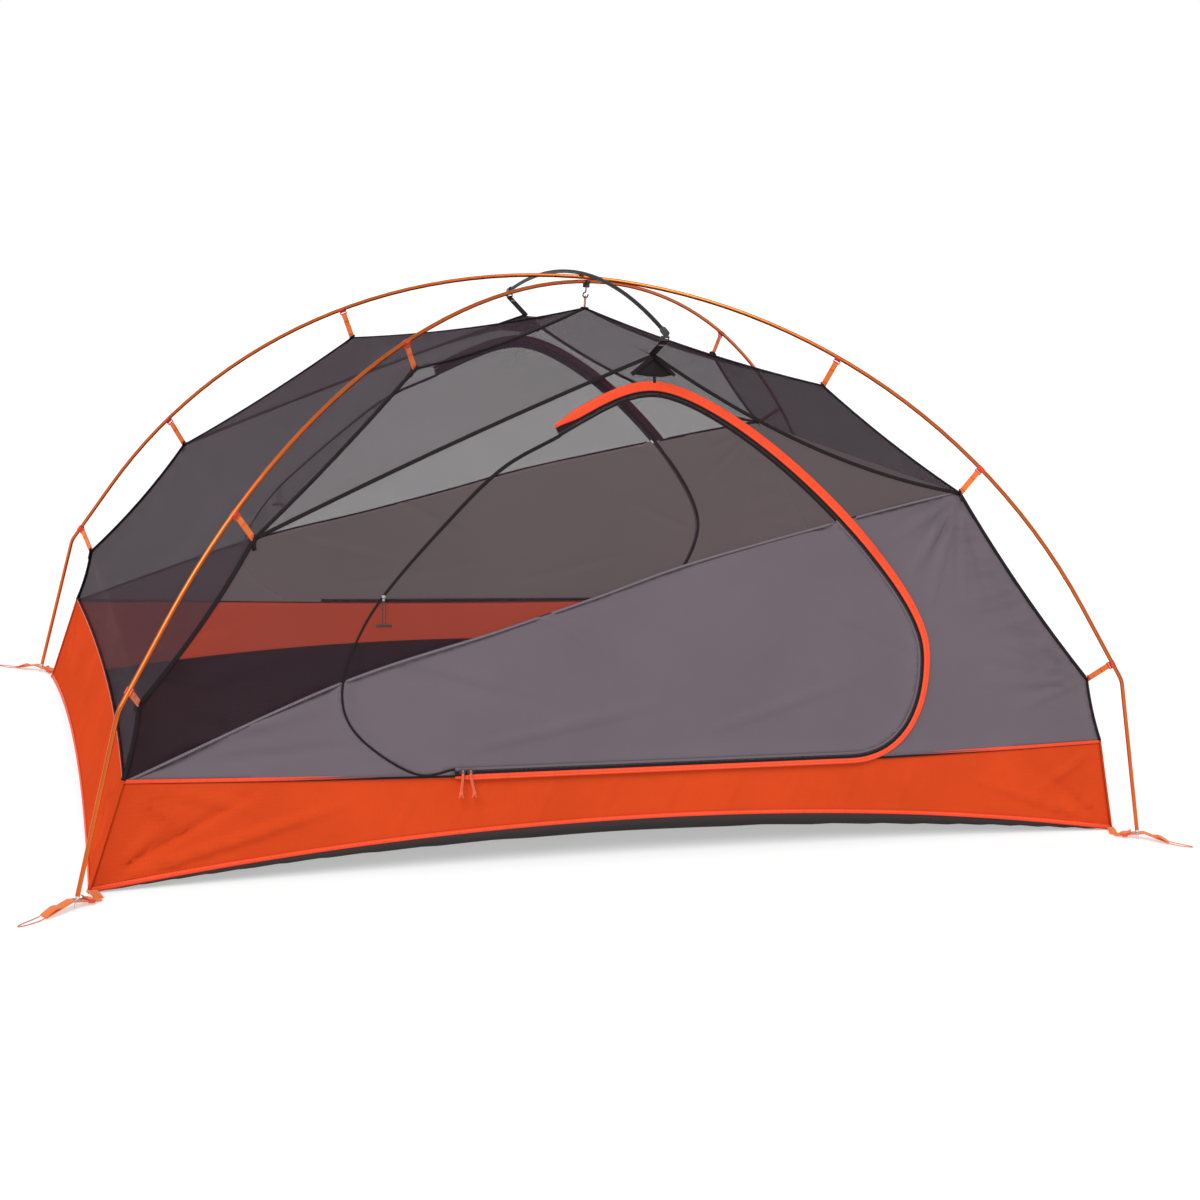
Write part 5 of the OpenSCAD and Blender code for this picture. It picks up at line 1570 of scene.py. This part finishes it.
class TENT_OT_tie_backs(bpy.types.Operator):
    """Makes the knotted zip pulls and the toggles that hold a rolled door"""
    bl_idname = "tent.tie_backs"
    bl_label = "Zip pulls and toggles"

    def execute(self, context):
        for front, my in SIDES:
            for k, x in zip("ab", SLIDER_X):
                self.pull(front, my, k, x)
            self.toggle(front, my)
        return {"FINISHED"}

    def pull(self, front, my, k, x):
        """A cord doubled through a slider's eye, knotted at the eye and at its end."""
        pivot = np.array([x, -SLIDER_Y * my, SLIDER_Z])
        down = np.array([0, -my * math.sin(PULL_LEAN), -math.cos(PULL_LEAN)])
        out = np.array([0, -my * math.cos(PULL_LEAN), math.sin(PULL_LEAN)])
        r, spread = PULL_R, PULL_SPREAD
        ring = [pivot + r * (math.cos(a) * -down + math.sin(a) * out) for a in np.linspace(-1.9, 1.9, 9)]
        side = np.array([1.0, 0, 0])
        swing = side * PULL_SWING[k]
        neck = pivot + down * (r + 0.0022)
        strands = [[neck + side * spread * 0.5 * way, neck + down * 0.012 + side * spread * way + swing * 0.3,
                    neck + down * 0.034 + side * spread * way + swing] for way in (-1, 1)]
        line = spaced(through([*strands[0][::-1], *ring, *strands[1]], 8), 0.0010)
        name = f"{front.capitalize()}_pull_{k}"
        cord = tube(name, line, 0.0027, 8)
        body = f"{front}_tag_{k}"
        knot_at = neck + down * 0.0355 + swing
        ends = [spaced([knot_at + side * s, knot_at + down * 0.0080 + side * s * 4], 0.002)
                for s in (-0.0011, 0.0011)]
        knot = join(name + "_knot", [ball("knot", knot_at, 0.0074, 1.2, 0.12), ball("knot", neck, 0.0056, 1.0, 0.12),
                                     *[tube("end", end, 0.0025, 8) for end in ends]])
        settle(cord, body, "cord", (f"{front}_pull_{k}",))
        settle(knot, body, "cord")

    def toggle(self, front, my):
        """A plastic bar on a loop of elastic, knotted to the net."""
        x, h = up_wall([(TOGGLE_AT[0] * 1000, TOGGLE_AT[1] * 1000)])[0]
        body = front + "_tieback"
        name = front.capitalize()
        knob = wall_point(x, h, 0.0048, my)
        low = wall_point(x, h - 0.056, 0.0048, my)
        down = unit(low - knob)
        knot = join(name + "_toggle_knot", [ball("knot", knob, 0.0082, 0.8, 0.12),
                                            ball("knot", knob + down * 0.006, 0.0052, 1.0, 0.12)])
        settle(knot, body, "pale_thread")
        for sign in (-1, 1):
            side = np.array([sign, 0, 0])
            line = through([knob + down * 0.004 + side * 0.0010, knob + down * 0.016 + side * 0.0030,
                            knob + down * 0.036 + side * 0.0034, low + side * 0.0030], 10)
            cord = tube(f"{name}_toggle_cord_{'l' if sign < 0 else 'r'}", line, 0.0024, 8)
            settle(cord, body, "elastic")
        half = 0.016
        along = np.array([(t * half, 0, 0) for t in (-1, -0.97, -0.88, -0.6, -0.15, 0, 0.15, 0.6, 0.88, 0.97, 1)])
        width = np.array([0.35, 0.72, 1.0, 0.96, 0.82, 0.80, 0.82, 0.96, 1.0, 0.72, 0.35])
        bar = sweep(name + "_toggle_bar", low + along, (0, 0, 1), circle(0.0055, 14), taper=width)
        settle(bar, body, "dark", (front + "_toggle",))


# ---- Stage ----

GROUND_HALF, GROUND_STEPS, SKY_D = 44, 9, 90.0
SUN_FROM, SUN_WIDTH = (-0.50, -0.62, 0.95), math.radians(28)
TENT_MIDDLE = (0, 0, 0.4)
CAMERA_AT = (-1.3268, -3.6767, 1.3127)
CAMERA_YAW, CAMERA_PITCH, CAMERA_ROLL = 0.35568, 0.23594, 0.07966
CAMERA_LENS, CAMERA_SHIFT = 50.961, (0.019, 0.001)


def area_light(name, at, aim, size_x, size_y, power):
    light = bpy.data.lights.new(name, "AREA")
    light.shape, light.size, light.size_y, light.energy = "RECTANGLE", size_x, size_y, power
    lamp = bpy.data.objects.new(name, light)
    lamp.location = at
    lamp.rotation_euler = (Vector(aim) - Vector(at)).to_track_quat("-Z", "Y").to_euler()
    bpy.context.scene.collection.objects.link(lamp)


class TENT_OT_stage(bpy.types.Operator):
    """Makes the pale floor, the soft lights and the camera"""
    bl_idname = "tent.stage"
    bl_label = "Stage"

    def execute(self, context):
        scene = context.scene
        stage = scene.tent_stage
        x, y = np.meshgrid(*[np.linspace(-GROUND_HALF, GROUND_HALF, GROUND_STEPS)] * 2)
        rows = np.stack([x, y, np.zeros_like(x)], -1)
        ground = paint(grid_sheet("Studio_floor", rows, rows[..., :2]), "stage")
        backdrop = paint(ball("Backdrop", (0, 0, 0), SKY_D), "backdrop")
        backdrop.data.flip_normals()
        backdrop.visible_diffuse = backdrop.visible_glossy = backdrop.visible_shadow = False
        world = scene.world or bpy.data.worlds.new("Surroundings")
        scene.world = world
        world.use_nodes = True
        back = world.node_tree.nodes["Background"]
        back.inputs[0].default_value, back.inputs[1].default_value = (1, 1, 1, 1), stage.sky
        area_light("Key", (-2.6, -3.4, 3.8), TENT_MIDDLE, 3.0, 3.0, stage.key)
        area_light("Fill", (3.6, -2.0, 2.6), TENT_MIDDLE, 3.0, 2.0, stage.fill)
        light = bpy.data.lights.new("Overhead", "SUN")
        light.energy, light.angle = stage.sun, SUN_WIDTH
        lamp = bpy.data.objects.new("Overhead", light)
        lamp.rotation_euler = Vector(SUN_FROM).to_track_quat("Z", "Y").to_euler()
        scene.collection.objects.link(lamp)
        scene.view_settings.view_transform = "Standard"
        cy, sy, cp, sp = (math.cos(CAMERA_YAW), math.sin(CAMERA_YAW), math.cos(CAMERA_PITCH), math.sin(CAMERA_PITCH))
        look = np.array([sy * cp, cy * cp, -sp])
        right = np.array([cy, -sy, 0.0])
        up = np.cross(right, look)
        cr, sr = math.cos(CAMERA_ROLL), math.sin(CAMERA_ROLL)
        right, up = cr * right + sr * up, cr * up - sr * right
        eye = bpy.data.cameras.new("Camera")
        eye.lens, eye.sensor_width, eye.shift_x, eye.shift_y = CAMERA_LENS, 36.0, *CAMERA_SHIFT
        camera = bpy.data.objects.new("Camera", eye)
        turn = Matrix((right, up, -look)).transposed().to_4x4()
        camera.matrix_world = Matrix.Translation(CAMERA_AT) @ turn
        scene.collection.objects.link(camera)
        scene.camera = camera
        return {"FINISHED"}


# ---- Add-on ----

STEPS = ("stage", "floor", "floor_walls", "end_panels", "roof_panels", "side_walls", "storm_flaps", "zips",
         "seam_bindings", "clip_tabs", "pole_clips", "poles", "corner_straps", "ridge_straps", "stake_loops",
         "tie_backs")


class TENT_PT_panel(bpy.types.Panel):
    """Lists the tent's sizes, colours and building steps"""
    bl_idname = "TENT_PT_panel"
    bl_label = "Dome tent"
    bl_space_type = "VIEW_3D"
    bl_region_type = "UI"
    bl_category = "Tent"

    def draw(self, context):
        for group in (context.scene.tent_sizes, context.scene.tent_colours, context.scene.tent_stage):
            for key in type(group).__annotations__:
                self.layout.prop(group, key)
        for step in STEPS:
            self.layout.operator("tent." + step)


CLASSES = (TentSizes, TentColours, TentStage, TENT_OT_stage, TENT_OT_floor, TENT_OT_floor_walls, TENT_OT_end_panels,
           TENT_OT_roof_panels, TENT_OT_side_walls, TENT_OT_storm_flaps, TENT_OT_zips, TENT_OT_seam_bindings,
           TENT_OT_clip_tabs, TENT_OT_pole_clips, TENT_OT_poles, TENT_OT_corner_straps, TENT_OT_ridge_straps,
           TENT_OT_stake_loops, TENT_OT_tie_backs, TENT_PT_panel)


def register():
    for cls in CLASSES:
        bpy.utils.register_class(cls)
    bpy.types.Scene.tent_sizes = PointerProperty(type=TentSizes)
    bpy.types.Scene.tent_colours = PointerProperty(type=TentColours)
    bpy.types.Scene.tent_stage = PointerProperty(type=TentStage)


def unregister():
    for key in ("tent_sizes", "tent_colours", "tent_stage"):
        delattr(bpy.types.Scene, key)
    for cls in reversed(CLASSES):
        bpy.utils.unregister_class(cls)


def main():
    register()
    make_finishes(bpy.context.scene.tent_colours)
    for step in STEPS:
        getattr(bpy.ops.tent, step)()


if __name__ == "__main__":
    main()
